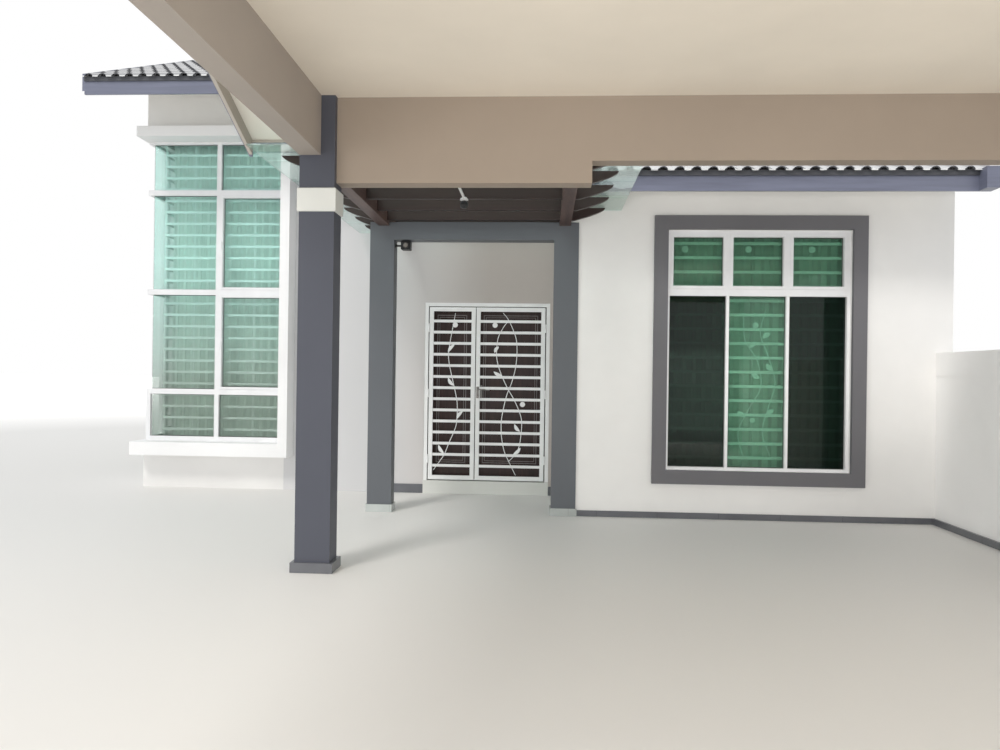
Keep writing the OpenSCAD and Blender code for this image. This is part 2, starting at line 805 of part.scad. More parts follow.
// Upper barrels, bored for the pins, on a leaf
module leaf_hinges(x, toward, y_face, out, z1) {
  for (z = hinge_zs(z1)) difference() {
    hinge_half(x, toward, y_face, out, z + barrel_gap / 2, (hinge_l - barrel_gap) / 2);
    translate([x, y_face + out * barrel_r, z - eps])
      cylinder(r = pin_r + pin_clear, h = hinge_l, $fn = 32);
  }
}

module grille_frame() {
  color(white_metal) {
    doorway_frame(grille_frame_w, y_grille, grille_frame_d);
    frame_hinges(grille_x0 + hinge_gap / 2, -1, y_grille, -1, grille_z1);
    frame_hinges(grille_x1 - hinge_gap / 2, 1, y_grille, -1, grille_z1);
  }
}

// Leaf of stiles, rails and evenly spaced flat bars
module grille_leaf(x0, x1) {
  z0 = leaf_z0;
  z1 = grille_z1;
  gap = (z1 - z0 - 2 * grille_stile - bar_count * bar_h) / (bar_count + 1);
  difference() {
    block(x0, x1, y_grille, y_grille + grille_t, z0, z1);
    block(x0 + grille_stile, x1 - grille_stile, y_grille - eps, y_grille + grille_t + eps,
      z0 + grille_stile, z1 - grille_stile);
  }
  y_bar = y_grille + (grille_t - bar_t) / 2;
  for (k = [1 : bar_count]) {
    z_bar = z0 + grille_stile + k * gap + (k - 1) * bar_h;
    block(x0 + grille_stile, x1 - grille_stile, y_bar, y_bar + bar_t, z_bar, z_bar + bar_h);
  }
}

module grille_leaf_left() {
  color(white_metal) {
    grille_leaf(grille_x0 + hinge_gap, x_meet - meeting_gap / 2);
    leaf_hinges(grille_x0 + hinge_gap / 2, 1, y_grille, -1, grille_z1);
  }
}

module grille_leaf_right() {
  x_lock = x_meet + meeting_gap / 2;
  z_lock = floor_h + lock_h;
  color(white_metal) {
    grille_leaf(x_lock, grille_x1 - hinge_gap);
    leaf_hinges(grille_x1 - hinge_gap / 2, -1, y_grille, -1, grille_z1);
    block(x_lock, x_lock + grille_stile, y_grille - lock_proud, y_grille + grille_t,
      z_lock - lock_l / 2, z_lock + lock_l / 2);
  }
}

module timber_frame() {
  color(timber_brown) {
    doorway_frame(timber_frame_w, y_timber, timber_frame_d);
    frame_hinges(timber_x0 + hinge_gap / 2, -1, y_wall_in, 1, timber_z1);
    frame_hinges(timber_x1 - hinge_gap / 2, 1, y_wall_in, 1, timber_z1);
  }
}

module timber_leaf_left() {
  color(timber_brown) {
    block(timber_x0 + hinge_gap, x_meet - meeting_gap / 2, y_timber_leaf, y_wall_in, leaf_z0, timber_z1);
    leaf_hinges(timber_x0 + hinge_gap / 2, 1, y_wall_in, 1, timber_z1);
  }
}

module timber_leaf_right() {
  color(timber_brown) {
    block(x_meet + meeting_gap / 2, timber_x1 - hinge_gap, y_timber_leaf, y_wall_in, leaf_z0, timber_z1);
    leaf_hinges(timber_x1 - hinge_gap / 2, -1, y_wall_in, 1, timber_z1);
  }
}

// Car porch

// Columns as x, y of their corner nearest the origin's left and front
column_xs = [x_porch, x_column_r];
column_ys = [y_porch - column_d, y_porch_front];

module porch_columns() {
  color(slate) for (x = column_xs, y = column_ys)
    gable_wall(porch_roof, x, x + column_s, y, y + column_d, 0);
}

// A band around a column
module band(x, y, proud, z0, h) {
  difference() {
    block(x - proud, x + column_s + proud, y - proud, y + column_d + proud, z0, z0 + h);
    block(x, x + column_s, y, y + column_d, z0 - eps, z0 + h + eps);
  }
}

module column_collars() {
  color(white_metal) for (x = column_xs, y = column_ys) band(x, y, collar_proud, collar_z, collar_h);
}

module skirtings() {
  color(charcoal) {
    for (y = column_ys) {
      band(x_porch, y, skirt_proud, 0, skirt_h);
      difference() {
        band(x_column_r, y, skirt_proud, 0, skirt_h);
        block(x_party - coping_proud, x_party_out + 2 * skirt_proud, y - 2 * skirt_proud,
          y + column_d + 2 * skirt_proud, -eps, skirt_h + eps);
      }
    }
    block(portal_out + plinth_proud, x_party, y_front - wall_skirt_t, y_front, 0, wall_skirt_h);
    for (r = boundary_runs) block(x_party - bound_skirt_t, x_party, r[0] + skirt_proud,
      r[1] == y_front ? y_front : r[1] - skirt_proud, 0, wall_skirt_h);
    block(portal_xs[0], door_x0, -wall_skirt_t, 0, 0, foyer_skirt_h);
    block(door_x1, x_side, -wall_skirt_t, 0, 0, foyer_skirt_h);
  }
}

module porch_cross_beams() {
  color(shade) {
    wall_under(porch_roof, x_porch + column_s, beam_step_x, y_porch - beam_t, y_porch, deep_beam_z);
    wall_under(porch_roof, beam_step_x, x_column_r, y_porch - beam_t, y_porch, beam_z);
    wall_under(porch_roof, x_porch + column_s, x_column_r, y_porch_front, y_porch_front + beam_t, beam_z);
  }
}

// Side beams up to the gables of the porch's roof
module porch_side_beams() {
  y0 = y_porch_front + column_d;
  y1 = y_porch - column_d;
  color(shade) {
    gable_wall(porch_roof, x_porch, x_porch + side_beam_t, y0, y1, side_beam_z);
    gable_wall(porch_roof, x_party, x_party_out, y0, y1, side_beam_z);
  }
}

module porch_ceiling() {
  color("#cfc7bd") difference() {
    block(x_porch + side_beam_t, x_party, y_porch_front + beam_t, y_porch - beam_t,
      ceiling_z, ceiling_z + ceiling_t);
    for (x = column_xs, y = column_ys)
      block(x, x + column_s, y, y + column_d, ceiling_z - eps, ceiling_z + ceiling_t + eps);
  }
}

// Portal and pergola

module entrance_portal() {
  color(slate) {
    for (x = portal_xs) block(x, x + portal_post, y_portal, y_portal_back, 0, portal_h);
    block(portal_xs[0], portal_out, y_portal, y_portal_back, portal_h, timber_z);
  }
}

module portal_plinths() {
  color("#c4c6c4") {
    difference() {
      block(portal_xs[0] - plinth_proud, portal_xs[0] + portal_post + plinth_proud,
        y_portal - plinth_proud, y_portal_back + plinth_proud, 0, plinth_h);
      block(portal_xs[0], portal_xs[0] + portal_post, y_portal, y_portal_back, -eps, plinth_h + eps);
    }
    difference() {
      block(portal_xs[1] - plinth_proud, portal_out + plinth_proud, y_portal - plinth_proud,
        y_portal_back, 0, plinth_h);
      block(portal_xs[1], portal_out + 2 * plinth_proud, y_portal, y_portal_back + eps,
        -eps, plinth_h + eps);
    }
  }
}

// Rafters and purlins are halved where they cross: rafters lose their top, purlins their foot.
// A rafter is notched over the lintel and hangs down in front of it.
module pergola_rafters() {
  color(timber_brown) for (x = rafter_xs) difference() {
    union() {
      block(x - rafter_w / 2, x + rafter_w / 2, y_porch, 0, timber_z, timber_top);
      block(x - rafter_w / 2, x + rafter_w / 2, y_porch, y_portal, timber_z - rafter_drop, timber_z + eps);
    }
    for (y = purlins) block(x - rafter_w, x + rafter_w, y, y + purlin_t,
      timber_z + timber_d / 2, timber_top + eps);
  }
}

// Lower edge of a tail from its root to its tip: a straight line bowed towards a quarter ellipse
function tail(side) = [for (k = [0 : 9]) let (a = 9 * k)
  [portal_shift + side * (purlin_reach - tail_l + tail_l * sin(a)),
    timber_top - timber_d * (tail_bow * cos(a) + (1 - tail_bow) * (1 - sin(a)))]];

module purlin(y, right) {
  along_y(y, y + purlin_t) difference() {
    polygon(concat(
      right ? concat(tail(1), [[portal_shift + purlin_reach, timber_top]])
        : [[x_rafter_edge, timber_z], [x_rafter_edge, timber_top]],
      [for (k = [9 : -1 : 0]) k == 9 ? [portal_shift - purlin_reach, timber_top] : tail(-1)[k]]));
    for (x = rafter_xs) translate([x - rafter_w / 2, timber_z - eps])
      square([rafter_w + (x > 0 && !right ? eps : 0), timber_d / 2 + eps]);
  }
}

module pergola_purlins() {
  color(timber_brown) for (k = [0 : len(purlins) - 1]) purlin(purlins[k], k < purlin_front);
}

module pergola_glass() {
  sheets = ceil(-y_porch / (sheet_w + sheet_gap));
  color("#a9cfc4") difference() {
    for (k = [0 : sheets - 1]) {
      y1 = -k * (sheet_w + sheet_gap) - sheet_gap;
      y0 = max(y1 - sheet_w, y_porch + sheet_gap);
      if (y1 - y0 > 5 * sheet_gap)
        block(portal_shift - x_glass, portal_shift + x_glass, y0, y1, timber_top, glass_top);
    }
    block(x_rafter_edge, portal_shift + x_glass + eps, y_front - sheet_gap, eps,
      timber_top - eps, glass_top + eps);
  }
}

// Runs of the boundary wall behind and between the porch's columns
boundary_runs = [[y_porch, y_front], [y_porch_front + column_d, y_porch - column_d]];

module boundary_wall() {
  color(plaster) for (r = boundary_runs) {
    block(x_party, x_party_out, r[0], r[1], 0, bound_h);
    block(x_party - coping_proud, x_party_out, r[0], r[1], bound_h - coping_h, bound_h);
  }
}

// An arm lamp behind the rear beam, and a small lamp at the top of the portal's left column
module lamps() {
  x_post = portal_xs[0] + portal_post;
  y_spot = (y_portal + y_portal_back - spot_l) / 2;
  z_spot = portal_h - spot_h - spot_gap;
  color("#2b2b2d") {
    translate([arm_x, y_porch, arm_z]) rotate([-90, 0, 0]) cylinder(r = arm_r, h = arm_l, $fn = 24);
    translate([arm_x, y_porch + arm_l - head_r, arm_z - head_l]) cylinder(r = head_r, h = head_l, $fn = 32);
    block(x_post, x_post + spot_arm + spot_w, y_spot + spot_l / 3, y_spot + spot_l * 2 / 3,
      z_spot + spot_h / 3, z_spot + spot_h * 2 / 3);
    block(x_post + spot_arm, x_post + spot_arm + spot_w, y_spot, y_spot + spot_l,
      z_spot, z_spot + spot_h);
  }
}

floor_slab();
door_threshold();
front_wall();
foyer_side_wall();
entrance_wall();
entrance_wall_head();
bay_wall();
left_wall();
rear_wall();
cross_wall();
party_wall();
high_roof_front();
high_roof_rear();
low_roof_front();
low_roof_rear();
ridge_tiles();
fascia_boards();
barge_boards();
bay_surround();
window_surrounds();
window_frames();
window_glass();
curtains();
curtain_rails();
grille_frame();
grille_leaf_left();
grille_leaf_right();
timber_frame();
timber_leaf_left();
timber_leaf_right();
porch_columns();
column_collars();
skirtings();
porch_cross_beams();
porch_side_beams();
porch_ceiling();
porch_roof_front();
porch_roof_rear();
entrance_portal();
portal_plinths();
pergola_rafters();
pergola_purlins();
pergola_glass();
boundary_wall();
lamps();
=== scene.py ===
import math
import bpy
import numpy as np
from mathutils import Matrix


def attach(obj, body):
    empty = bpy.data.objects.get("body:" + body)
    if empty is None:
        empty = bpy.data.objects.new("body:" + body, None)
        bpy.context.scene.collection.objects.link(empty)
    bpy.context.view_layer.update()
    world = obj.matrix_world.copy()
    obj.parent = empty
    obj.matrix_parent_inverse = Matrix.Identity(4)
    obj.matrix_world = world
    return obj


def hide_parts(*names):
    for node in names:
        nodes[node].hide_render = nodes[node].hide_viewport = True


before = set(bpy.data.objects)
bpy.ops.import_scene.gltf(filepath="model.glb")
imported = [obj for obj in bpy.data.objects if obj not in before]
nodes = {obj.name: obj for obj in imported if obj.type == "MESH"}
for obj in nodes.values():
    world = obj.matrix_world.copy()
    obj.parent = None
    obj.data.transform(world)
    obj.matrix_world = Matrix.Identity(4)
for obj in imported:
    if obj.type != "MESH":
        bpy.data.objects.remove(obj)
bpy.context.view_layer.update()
print("frame loaded:", len(nodes), "nodes")


# a Principled material; its plain values go straight on the sockets
def newMaterial(name, colour, roughness, metallic=0.0, coat=0.0, transmission=0.0, ior=1.5, alpha=1.0):
    mat = bpy.data.materials.new(name)
    mat.use_nodes = True
    shader = mat.node_tree.nodes["Principled BSDF"]
    values = {"Base Color": (*colour, 1), "Roughness": roughness, "Metallic": metallic, "Coat Weight": coat,
              "Transmission Weight": transmission, "IOR": ior, "Alpha": alpha}
    for socket, value in values.items():
        shader.inputs[socket].default_value = value
    mat.diffuse_color = (*colour, alpha)
    return mat, shader


def addNode(mat, kind, **values):
    node = mat.node_tree.nodes.new(kind)
    for key, value in values.items():
        setattr(node, key, value)
    return node


def link(mat, a, b):
    mat.node_tree.links.new(a, b)


def coords(mat, scale=(1, 1, 1), turn=(0, 0, 0)):  # object coordinates through a mapping
    source = addNode(mat, "ShaderNodeTexCoord")
    mapping = addNode(mat, "ShaderNodeMapping")
    mapping.inputs["Scale"].default_value = scale
    mapping.inputs["Rotation"].default_value = turn
    link(mat, source.outputs["Object"], mapping.inputs["Vector"])
    return mapping.outputs["Vector"]


def noise(mat, vector, scale, detail=3.0, rough=0.55):
    node = addNode(mat, "ShaderNodeTexNoise")
    node.inputs["Scale"].default_value = scale
    node.inputs["Detail"].default_value = detail
    node.inputs["Roughness"].default_value = rough
    link(mat, vector, node.inputs["Vector"])
    return node.outputs["Fac"]


def ramp(mat, value, stops):
    node = addNode(mat, "ShaderNodeValToRGB")
    band = node.color_ramp
    while len(band.elements) < len(stops):
        band.elements.new(0.5)
    for element, (place, colour) in zip(band.elements, stops):
        element.position = place
        element.color = (*colour, 1)
    link(mat, value, node.inputs["Fac"])
    return node.outputs["Color"]


def mixColour(mat, factor, a, b, mode="MIX"):  # each may be a socket or a plain value
    node = addNode(mat, "ShaderNodeMix", data_type="RGBA", blend_type=mode)
    for socket, value in ((node.inputs[0], factor), (node.inputs[6], a), (node.inputs[7], b)):
        if isinstance(value, (int, float)):
            socket.default_value = value
        elif isinstance(value, tuple):
            socket.default_value = (*value, 1)
        else:
            link(mat, value, socket)
    return node.outputs[2]


def mathNode(mat, operation, a, b=None, c=None, clamp=False):
    node = addNode(mat, "ShaderNodeMath", operation=operation, use_clamp=clamp)
    for socket, value in zip(node.inputs, (a, b, c)):
        if value is None:
            continue
        if isinstance(value, (int, float)):
            socket.default_value = value
        else:
            link(mat, value, socket)
    return node.outputs[0]


def bump(mat, shader, height, strength, distance):
    node = addNode(mat, "ShaderNodeBump")
    node.inputs["Strength"].default_value = strength
    node.inputs["Distance"].default_value = distance
    link(mat, height, node.inputs["Height"])
    link(mat, node.outputs["Normal"], shader.inputs["Normal"])


def axisValue(mat, axis):  # one of the object's own coordinates, in metres
    source = addNode(mat, "ShaderNodeTexCoord")
    split = addNode(mat, "ShaderNodeSeparateXYZ")
    link(mat, source.outputs["Object"], split.inputs["Vector"])
    return split.outputs[axis]


def scaled(colour, factor):
    return tuple(min(1.0, c * factor) for c in colour)


# how far a value has come from start towards start + span, held between 0 and 1
def progress(mat, value, start, span):
    return mathNode(mat, "DIVIDE", mathNode(mat, "SUBTRACT", value, start), span, clamp=True)


# a colour in clouds: noise through a ramp, each stop being a place and a factor of the colour
def clouded(mat, vector, colour, scale, detail, *stops):
    return ramp(mat, noise(mat, vector, scale, detail),
                [(place, scaled(colour, factor)) for place, factor in stops])


plasterLook = {
    "whitePlaster": (0.87, 0.862, 0.85), "boundaryPlaster": (0.97, 0.965, 0.955),
    "foyerShadePlaster": (0.49, 0.445, 0.42), "bayPlaster": (0.93, 0.93, 0.935),
    "columnPlaster": (0.07, 0.075, 0.097), "portalPlaster": (0.12, 0.13, 0.145),
    "surroundPlaster": (0.15, 0.148, 0.16), "taupePlaster": (0.33, 0.272, 0.222),
    "sideTaupePlaster": (0.375, 0.33, 0.292), "ceilingPaint": (0.8, 0.73, 0.63),
    "floorScreed": (0.62, 0.6, 0.57), "bandPaint": (0.69, 0.7, 0.67), "creamPaint": (0.9, 0.87, 0.79),
    "liningPaint": (0.5, 0.46, 0.41), "eaveShadowPaint": (0.085, 0.088, 0.1),
    "foyerLeftShade": (0.68, 0.68, 0.69),    # the foyer's painted shade at its left end, paler than at its right
    "foyerShadeFade": (-1.3, 0.1),           # where along X it starts and ends its change
    "grain": 0.0024,                    # depth of the trowel marks in metres
    "splash": 0.22,                     # how dark rain splash makes the foot of a wall
    "splashHeight": 0.35,               # how high it reaches at most, in metres
}


# painted plaster: broad patches plus trowel marks, and a foot darkened where noise * splashHeight stands
# over the height
def plaster(name, roughness, splash=0.0, grain=1.0):
    colour = plasterLook[name]
    mat, shader = newMaterial(name, colour, roughness)
    vector = coords(mat)
    shade = clouded(mat, vector, colour, 0.9, 4.0, (0.3, 0.94), (0.7, 1.03))
    if splash:
        wobble = mathNode(mat, "MULTIPLY", noise(mat, vector, 3.0, 5.0), plasterLook["splashHeight"])
        low = mathNode(mat, "SUBTRACT", wobble, axisValue(mat, "Z"))
        wet = mathNode(mat, "MULTIPLY", low, 2.2, clamp=True)
        shade = mixColour(mat, mathNode(mat, "MULTIPLY", wet, splash), shade, scaled(colour, 0.55))
    link(mat, shade, shader.inputs["Base Color"])
    marks = mathNode(mat, "ADD", mathNode(mat, "MULTIPLY", noise(mat, vector, 14.0, 4.0), 0.7),
                     mathNode(mat, "MULTIPLY", noise(mat, vector, 160.0, 2.0), 0.3))
    bump(mat, shader, marks, 0.35, plasterLook["grain"] * grain)
    return mat


# painted shade: blends a paint towards another on the left, by its progress along X; on the foyer's wall the
# painted shade is paler to the left and deeper to the right
def paintShadeAlong(mat, colour, span):
    shader = mat.node_tree.nodes["Principled BSDF"]
    before = shader.inputs["Base Color"].links[0].from_socket
    along = progress(mat, axisValue(mat, "X"), span[0], span[1] - span[0])
    link(mat, mixColour(mat, along, colour, before), shader.inputs["Base Color"])


splash = plasterLook["splash"]
whitePlaster = plaster("whitePlaster", 0.72, splash)
boundaryPlaster = plaster("boundaryPlaster", 0.72, splash)
# the foyer's colour is painted shade on its white wall, deepest to the right and paler to the left
foyerShadePlaster = plaster("foyerShadePlaster", 0.72, splash)
paintShadeAlong(foyerShadePlaster, plasterLook["foyerLeftShade"], plasterLook["foyerShadeFade"])
bayPlaster = plaster("bayPlaster", 0.6)
columnPlaster = plaster("columnPlaster", 0.5, 0.15)
portalPlaster = plaster("portalPlaster", 0.5, 0.15)
surroundPlaster = plaster("surroundPlaster", 0.6)
taupePlaster = plaster("taupePlaster", 0.7)
sideTaupePlaster = plaster("sideTaupePlaster", 0.7)
ceilingPaint = plaster("ceilingPaint", 0.8, grain=0.5)
floorScreed = plaster("floorScreed", 0.45, grain=0.5)
bandPaint = plaster("bandPaint", 0.55)
creamPaint = plaster("creamPaint", 0.6, grain=0.5)
liningPaint = plaster("liningPaint", 0.6, grain=0.5)

boardLook = {
    "blue": (0.175, 0.188, 0.258),
    "ribbing": 0.0016,    # depth of the brush marks along a board
}


# gloss paint on boards: brush marks run along them, because the noise is squeezed 14 times in height
def paintedBoard(name, colour):
    mat, shader = newMaterial(name, colour, 0.38, coat=0.15)
    vector = coords(mat, scale=(1.0, 1.0, 14.0))
    link(mat, clouded(mat, vector, colour, 1.4, 4.0, (0.3, 0.86), (0.75, 1.14)), shader.inputs["Base Color"])
    bump(mat, shader, noise(mat, vector, 9.0, 3.0), 0.4, boardLook["ribbing"])
    return mat


fasciaPaint = paintedBoard("fasciaPaint", boardLook["blue"])

timberLook = {
    "pergola": (0.05, 0.028, 0.024),
    "pergolaLight": (0.135, 0.08, 0.066),
    "door": (0.02, 0.01, 0.009),
    "doorLight": (0.046, 0.021, 0.019),
    # trim and trimLight are the door's timber made paler for its mouldings: a painted highlight along them
    "trimHighlight": (0.155, 0.14, 0.138),
    "trimLight": (0.25, 0.235, 0.23),
}


# wood: noise stretched along its fibres gives broad rings and fine grain
def timber(name, dark, light, scale, roughness, coat):
    mat, shader = newMaterial(name, dark, roughness, coat=coat)
    vector = coords(mat, scale=scale)
    broad = noise(mat, vector, 2.2, 6.0, 0.65)
    fine = noise(mat, vector, 16.0, 4.0, 0.7)
    grain = mathNode(mat, "ADD", mathNode(mat, "MULTIPLY", broad, 0.65), mathNode(mat, "MULTIPLY", fine, 0.35))
    link(mat, ramp(mat, grain, [(0.36, dark), (0.66, light)]), shader.inputs["Base Color"])
    bump(mat, shader, grain, 0.5, 0.0012)
    return mat


rafterWood = timber("rafterWood", timberLook["pergola"], timberLook["pergolaLight"], (9, 0.7, 9), 0.5, 0.1)
purlinWood = timber("purlinWood", scaled(timberLook["pergola"], 0.45), scaled(timberLook["pergola"], 0.7),
                    (0.7, 9, 9), 0.5, 0.05)
doorWood = timber("doorWood", timberLook["door"], timberLook["doorLight"], (12, 12, 0.9), 0.42, 0.12)
# the mouldings get paler wood than the door: a painted highlight along their edges
doorTrimHighlight = timber("doorTrimHighlight", timberLook["trimHighlight"], timberLook["trimLight"], (12, 12, 0.9), 0.35, 0.25)

# roll and pan are painted light: the rolls' dark is painted shade on their flanks, and the pans' pale is a
# painted highlight of the bright sky
tileLook = {"rollNoseShade": (0.05, 0.052, 0.062), "panNoseHighlight": (0.9, 0.905, 0.915), "roll": (0.22, 0.225, 0.24),
            "pan": (0.56, 0.565, 0.58), "ridge": (0.3, 0.305, 0.32), "pitch": 0.15, "rollShadeHalf": 0.03}


# roof tile: painted shade on the rolls, dark where the distance to the nearest roll's middle, ping-pong(x,
# pitch / 2), is under half the roll's shaded width, and a painted sky highlight on the pans beyond it; a cell
# noise makes some tiles a little darker
def tileStone(name, litPanColour, shadedRollColour):
    mat, shader = newMaterial(name, shadedRollColour, 0.25, coat=1.0)
    vector = coords(mat, scale=(2.0, 1.0, 1.0))
    cell = addNode(mat, "ShaderNodeTexVoronoi")
    cell.inputs["Scale"].default_value = 3.1
    link(mat, vector, cell.inputs["Vector"])
    fromRoll = mathNode(mat, "PINGPONG", axisValue(mat, "X"), tileLook["pitch"] / 2)
    past = mathNode(mat, "SUBTRACT", fromRoll, tileLook["rollShadeHalf"])
    edge = mathNode(mat, "MULTIPLY", past, 120.0, clamp=True)
    speck = noise(mat, vector, 6.0, 5.0)
    pale = ramp(mat, speck, [(0.3, scaled(litPanColour, 0.85)), (0.75, scaled(litPanColour, 1.12))])
    dark = ramp(mat, speck, [(0.3, scaled(shadedRollColour, 0.8)), (0.75, scaled(shadedRollColour, 1.3))])
    spread = addNode(mat, "ShaderNodeSeparateColor")
    link(mat, cell.outputs["Color"], spread.inputs[0])
    tint = mathNode(mat, "MULTIPLY", spread.outputs[0], 0.12)
    both = mixColour(mat, edge, dark, pale)
    link(mat, mixColour(mat, tint, both, scaled(litPanColour, 0.4)), shader.inputs["Base Color"])
    bump(mat, shader, noise(mat, vector, 120.0, 3.0), 0.15, 0.0008)
    return mat


roofTile = tileStone("roofTile", tileLook["pan"], tileLook["roll"])
# the dark roll noses are painted shade under the rolls' ends, and the pale pan noses are a painted highlight
rollNoseShade = tileStone("rollNoseShade", tileLook["rollNoseShade"], tileLook["rollNoseShade"])
panNoseHighlight = tileStone("panNoseHighlight", tileLook["panNoseHighlight"], tileLook["panNoseHighlight"])
ridgeTile = tileStone("ridgeTile", tileLook["ridge"], tileLook["ridge"])
# the eave strips' paint is painted shade under the tiles' noses
eaveShadowPaint = plaster("eaveShadowPaint", 0.6)


# glazed tiles in a row, with thin upright joints where x + y comes back to a tile's width
def tiledBand(name, colour, joint, width, roughness, coat):
    mat, shader = newMaterial(name, colour, roughness, coat=coat)
    vector = coords(mat)
    clouds = clouded(mat, vector, colour, 2.5, 5.0, (0.35, 0.85), (0.7, 1.15))
    along = mathNode(mat, "ADD", axisValue(mat, "X"), axisValue(mat, "Y"))
    part = mathNode(mat, "PINGPONG", along, width / 2)
    gap = mathNode(mat, "LESS_THAN", part, 0.0015)
    link(mat, mixColour(mat, gap, clouds, joint), shader.inputs["Base Color"])
    bump(mat, shader, mathNode(mat, "SUBTRACT", 1.0, gap), 0.6, 0.0015)
    return mat


skirtTile = tiledBand("skirtTile", (0.13, 0.135, 0.15), (0.05, 0.05, 0.055), 0.6, 0.3, 0.2)
paleTile = tiledBand("paleTile", (0.46, 0.49, 0.48), (0.28, 0.29, 0.29), 0.3, 0.2, 0.4)


# powder coat or gloss paint on metal: slight orange peel and faint dust
def coatedMetal(name, colour, roughness, coat):
    mat, shader = newMaterial(name, colour, roughness, coat=coat)
    vector = coords(mat)
    link(mat, clouded(mat, vector, colour, 5.0, 5.0, (0.35, 0.94), (0.65, 1.0)), shader.inputs["Base Color"])
    bump(mat, shader, noise(mat, vector, 420.0, 1.0), 0.15, 0.0004)
    return mat


frameWhite = coatedMetal("frameWhite", (0.88, 0.885, 0.9), 0.32, 0.1)
steelWhite = coatedMetal("steelWhite", (0.91, 0.92, 0.925), 0.28, 0.2)
lampWhite = coatedMetal("lampWhite", (0.85, 0.85, 0.85), 0.3, 0.1)
lampBlack = coatedMetal("lampBlack", (0.014, 0.014, 0.015), 0.4, 0.05)
rubberBlack = coatedMetal("rubberBlack", (0.02, 0.02, 0.02), 0.7, 0.0)
lockSteel, lockShader = newMaterial("lockSteel", (0.32, 0.31, 0.3), 0.35, metallic=1.0)
bump(lockSteel, lockShader, noise(lockSteel, coords(lockSteel), 60.0, 3.0), 0.2, 0.0005)


glassLook = {
    "bay": (0.5, 0.98, 0.87), "bayLow": (0.27, 0.41, 0.33), "bedroom": (0.41, 0.71, 0.55),
    "dark": (0.075, 0.135, 0.105), "canopy": (0.66, 0.94, 0.86),
    "bayEnd": -2.2, "bayDepth": 0.6, "bayFade": (1.2, 2.7), "panels": (2.557, 3.143), "transom": 2.24,
    "returnFrom": 0.08, "wingFrom": 1.5,
    # alpha, and what each place takes from it or adds
    "closed": 0.88, "bayOpen": 0.46, "returnOpen": 0.2, "darkClosed": 0.12,
}


# tinted glass with a slow wave in its surface; what alpha leaves open lets daylight through
def tintedGlass(name, colour, roughness, alpha):
    mat, shader = newMaterial(name, colour, roughness, transmission=0.94, ior=1.33, alpha=alpha)
    bump(mat, shader, noise(mat, coords(mat), 1.6, 2.0), 0.25, 0.0015)
    return mat, shader


# house glass: pale in the corner window and darker towards its foot, green in the other windows, and nearly
# black in the outer panels under the transom of the low wing's two windows
def houseGlass(name):
    look = glassLook
    mat, shader = tintedGlass(name, look["bedroom"], 0.02, 0.8)
    x, y, z = axisValue(mat, "X"), axisValue(mat, "Y"), axisValue(mat, "Z")
    low, high = look["bayFade"]
    corner = mixColour(mat, progress(mat, z, low, high - low), look["bayLow"], look["bay"])
    inCorner = mathNode(mat, "MULTIPLY", mathNode(mat, "LESS_THAN", x, look["bayEnd"]),
                        mathNode(mat, "LESS_THAN", y, look["bayDepth"]))
    outside = mathNode(mat, "ADD", mathNode(mat, "LESS_THAN", x, look["panels"][0]),
                       mathNode(mat, "GREATER_THAN", x, look["panels"][1]))
    inWing = mathNode(mat, "MULTIPLY", outside, mathNode(mat, "GREATER_THAN", x, look["wingFrom"]))
    shaded = mathNode(mat, "MULTIPLY", inWing, mathNode(mat, "LESS_THAN", z, look["transom"]))
    bedroom = mixColour(mat, shaded, look["bedroom"], look["dark"])
    link(mat, mixColour(mat, inCorner, bedroom, corner), shader.inputs["Base Color"])
    inReturn = mathNode(mat, "MULTIPLY", inCorner, mathNode(mat, "GREATER_THAN", y, look["returnFrom"]))
    closed = mathNode(mat, "SUBTRACT", look["closed"], mathNode(mat, "MULTIPLY", inCorner, look["bayOpen"]))
    closed = mathNode(mat, "SUBTRACT", closed, mathNode(mat, "MULTIPLY", inReturn, look["returnOpen"]))
    closed = mathNode(mat, "ADD", closed, mathNode(mat, "MULTIPLY", shaded, look["darkClosed"]), clamp=True)
    link(mat, closed, shader.inputs["Alpha"])
    return mat


windowGlass = houseGlass("windowGlass")
canopyGlass = tintedGlass("canopyGlass", glassLook["canopy"], 0.05, 0.55)[0]
lensGlass, lensShader = newMaterial("lensGlass", (0.22, 0.2, 0.18), 0.2, coat=0.3)
bump(lensGlass, lensShader, noise(lensGlass, coords(lensGlass), 90.0, 2.0), 0.2, 0.0006)


# woven cloth; warp and weft waves follow the sheet's own UV map, which counts metres of cloth
def curtainCloth(name, colour):
    mat, shader = newMaterial(name, colour, 0.85)
    shader.inputs["Sheen Weight"].default_value = 0.25
    uv = addNode(mat, "ShaderNodeUVMap", uv_map="cloth").outputs["UV"]
    threads = []
    for direction in ("X", "Y"):
        wave = addNode(mat, "ShaderNodeTexWave", wave_type="BANDS", bands_direction=direction)
        wave.inputs["Scale"].default_value = 160.0
        wave.inputs["Distortion"].default_value = 1.0
        link(mat, uv, wave.inputs["Vector"])
        threads.append(wave.outputs["Fac"])
    link(mat, clouded(mat, uv, colour, 3.0, 4.0, (0.3, 0.88), (0.7, 1.0)), shader.inputs["Base Color"])
    bump(mat, shader, mathNode(mat, "MULTIPLY", *threads), 0.4, 0.0006)
    return mat


curtainPale = curtainCloth("curtainPale", (0.6, 0.64, 0.6))
curtainLight = curtainCloth("curtainLight", (0.88, 0.92, 0.89))
print("materials made")


# turns a closed shell's faces round where its volume, the sum of a . (b x c) / 6 over triangles, is negative
def outwards(points, faces):
    middle = points.mean(0)
    volume = 0.0
    for block in faces:
        p = points[block] - middle
        for n in range(1, block.shape[1] - 1):
            volume += np.einsum("ij,ij->", p[:, 0], np.cross(p[:, n], p[:, n + 1]))
    return faces if volume > 0 else [block[:, ::-1] for block in faces]


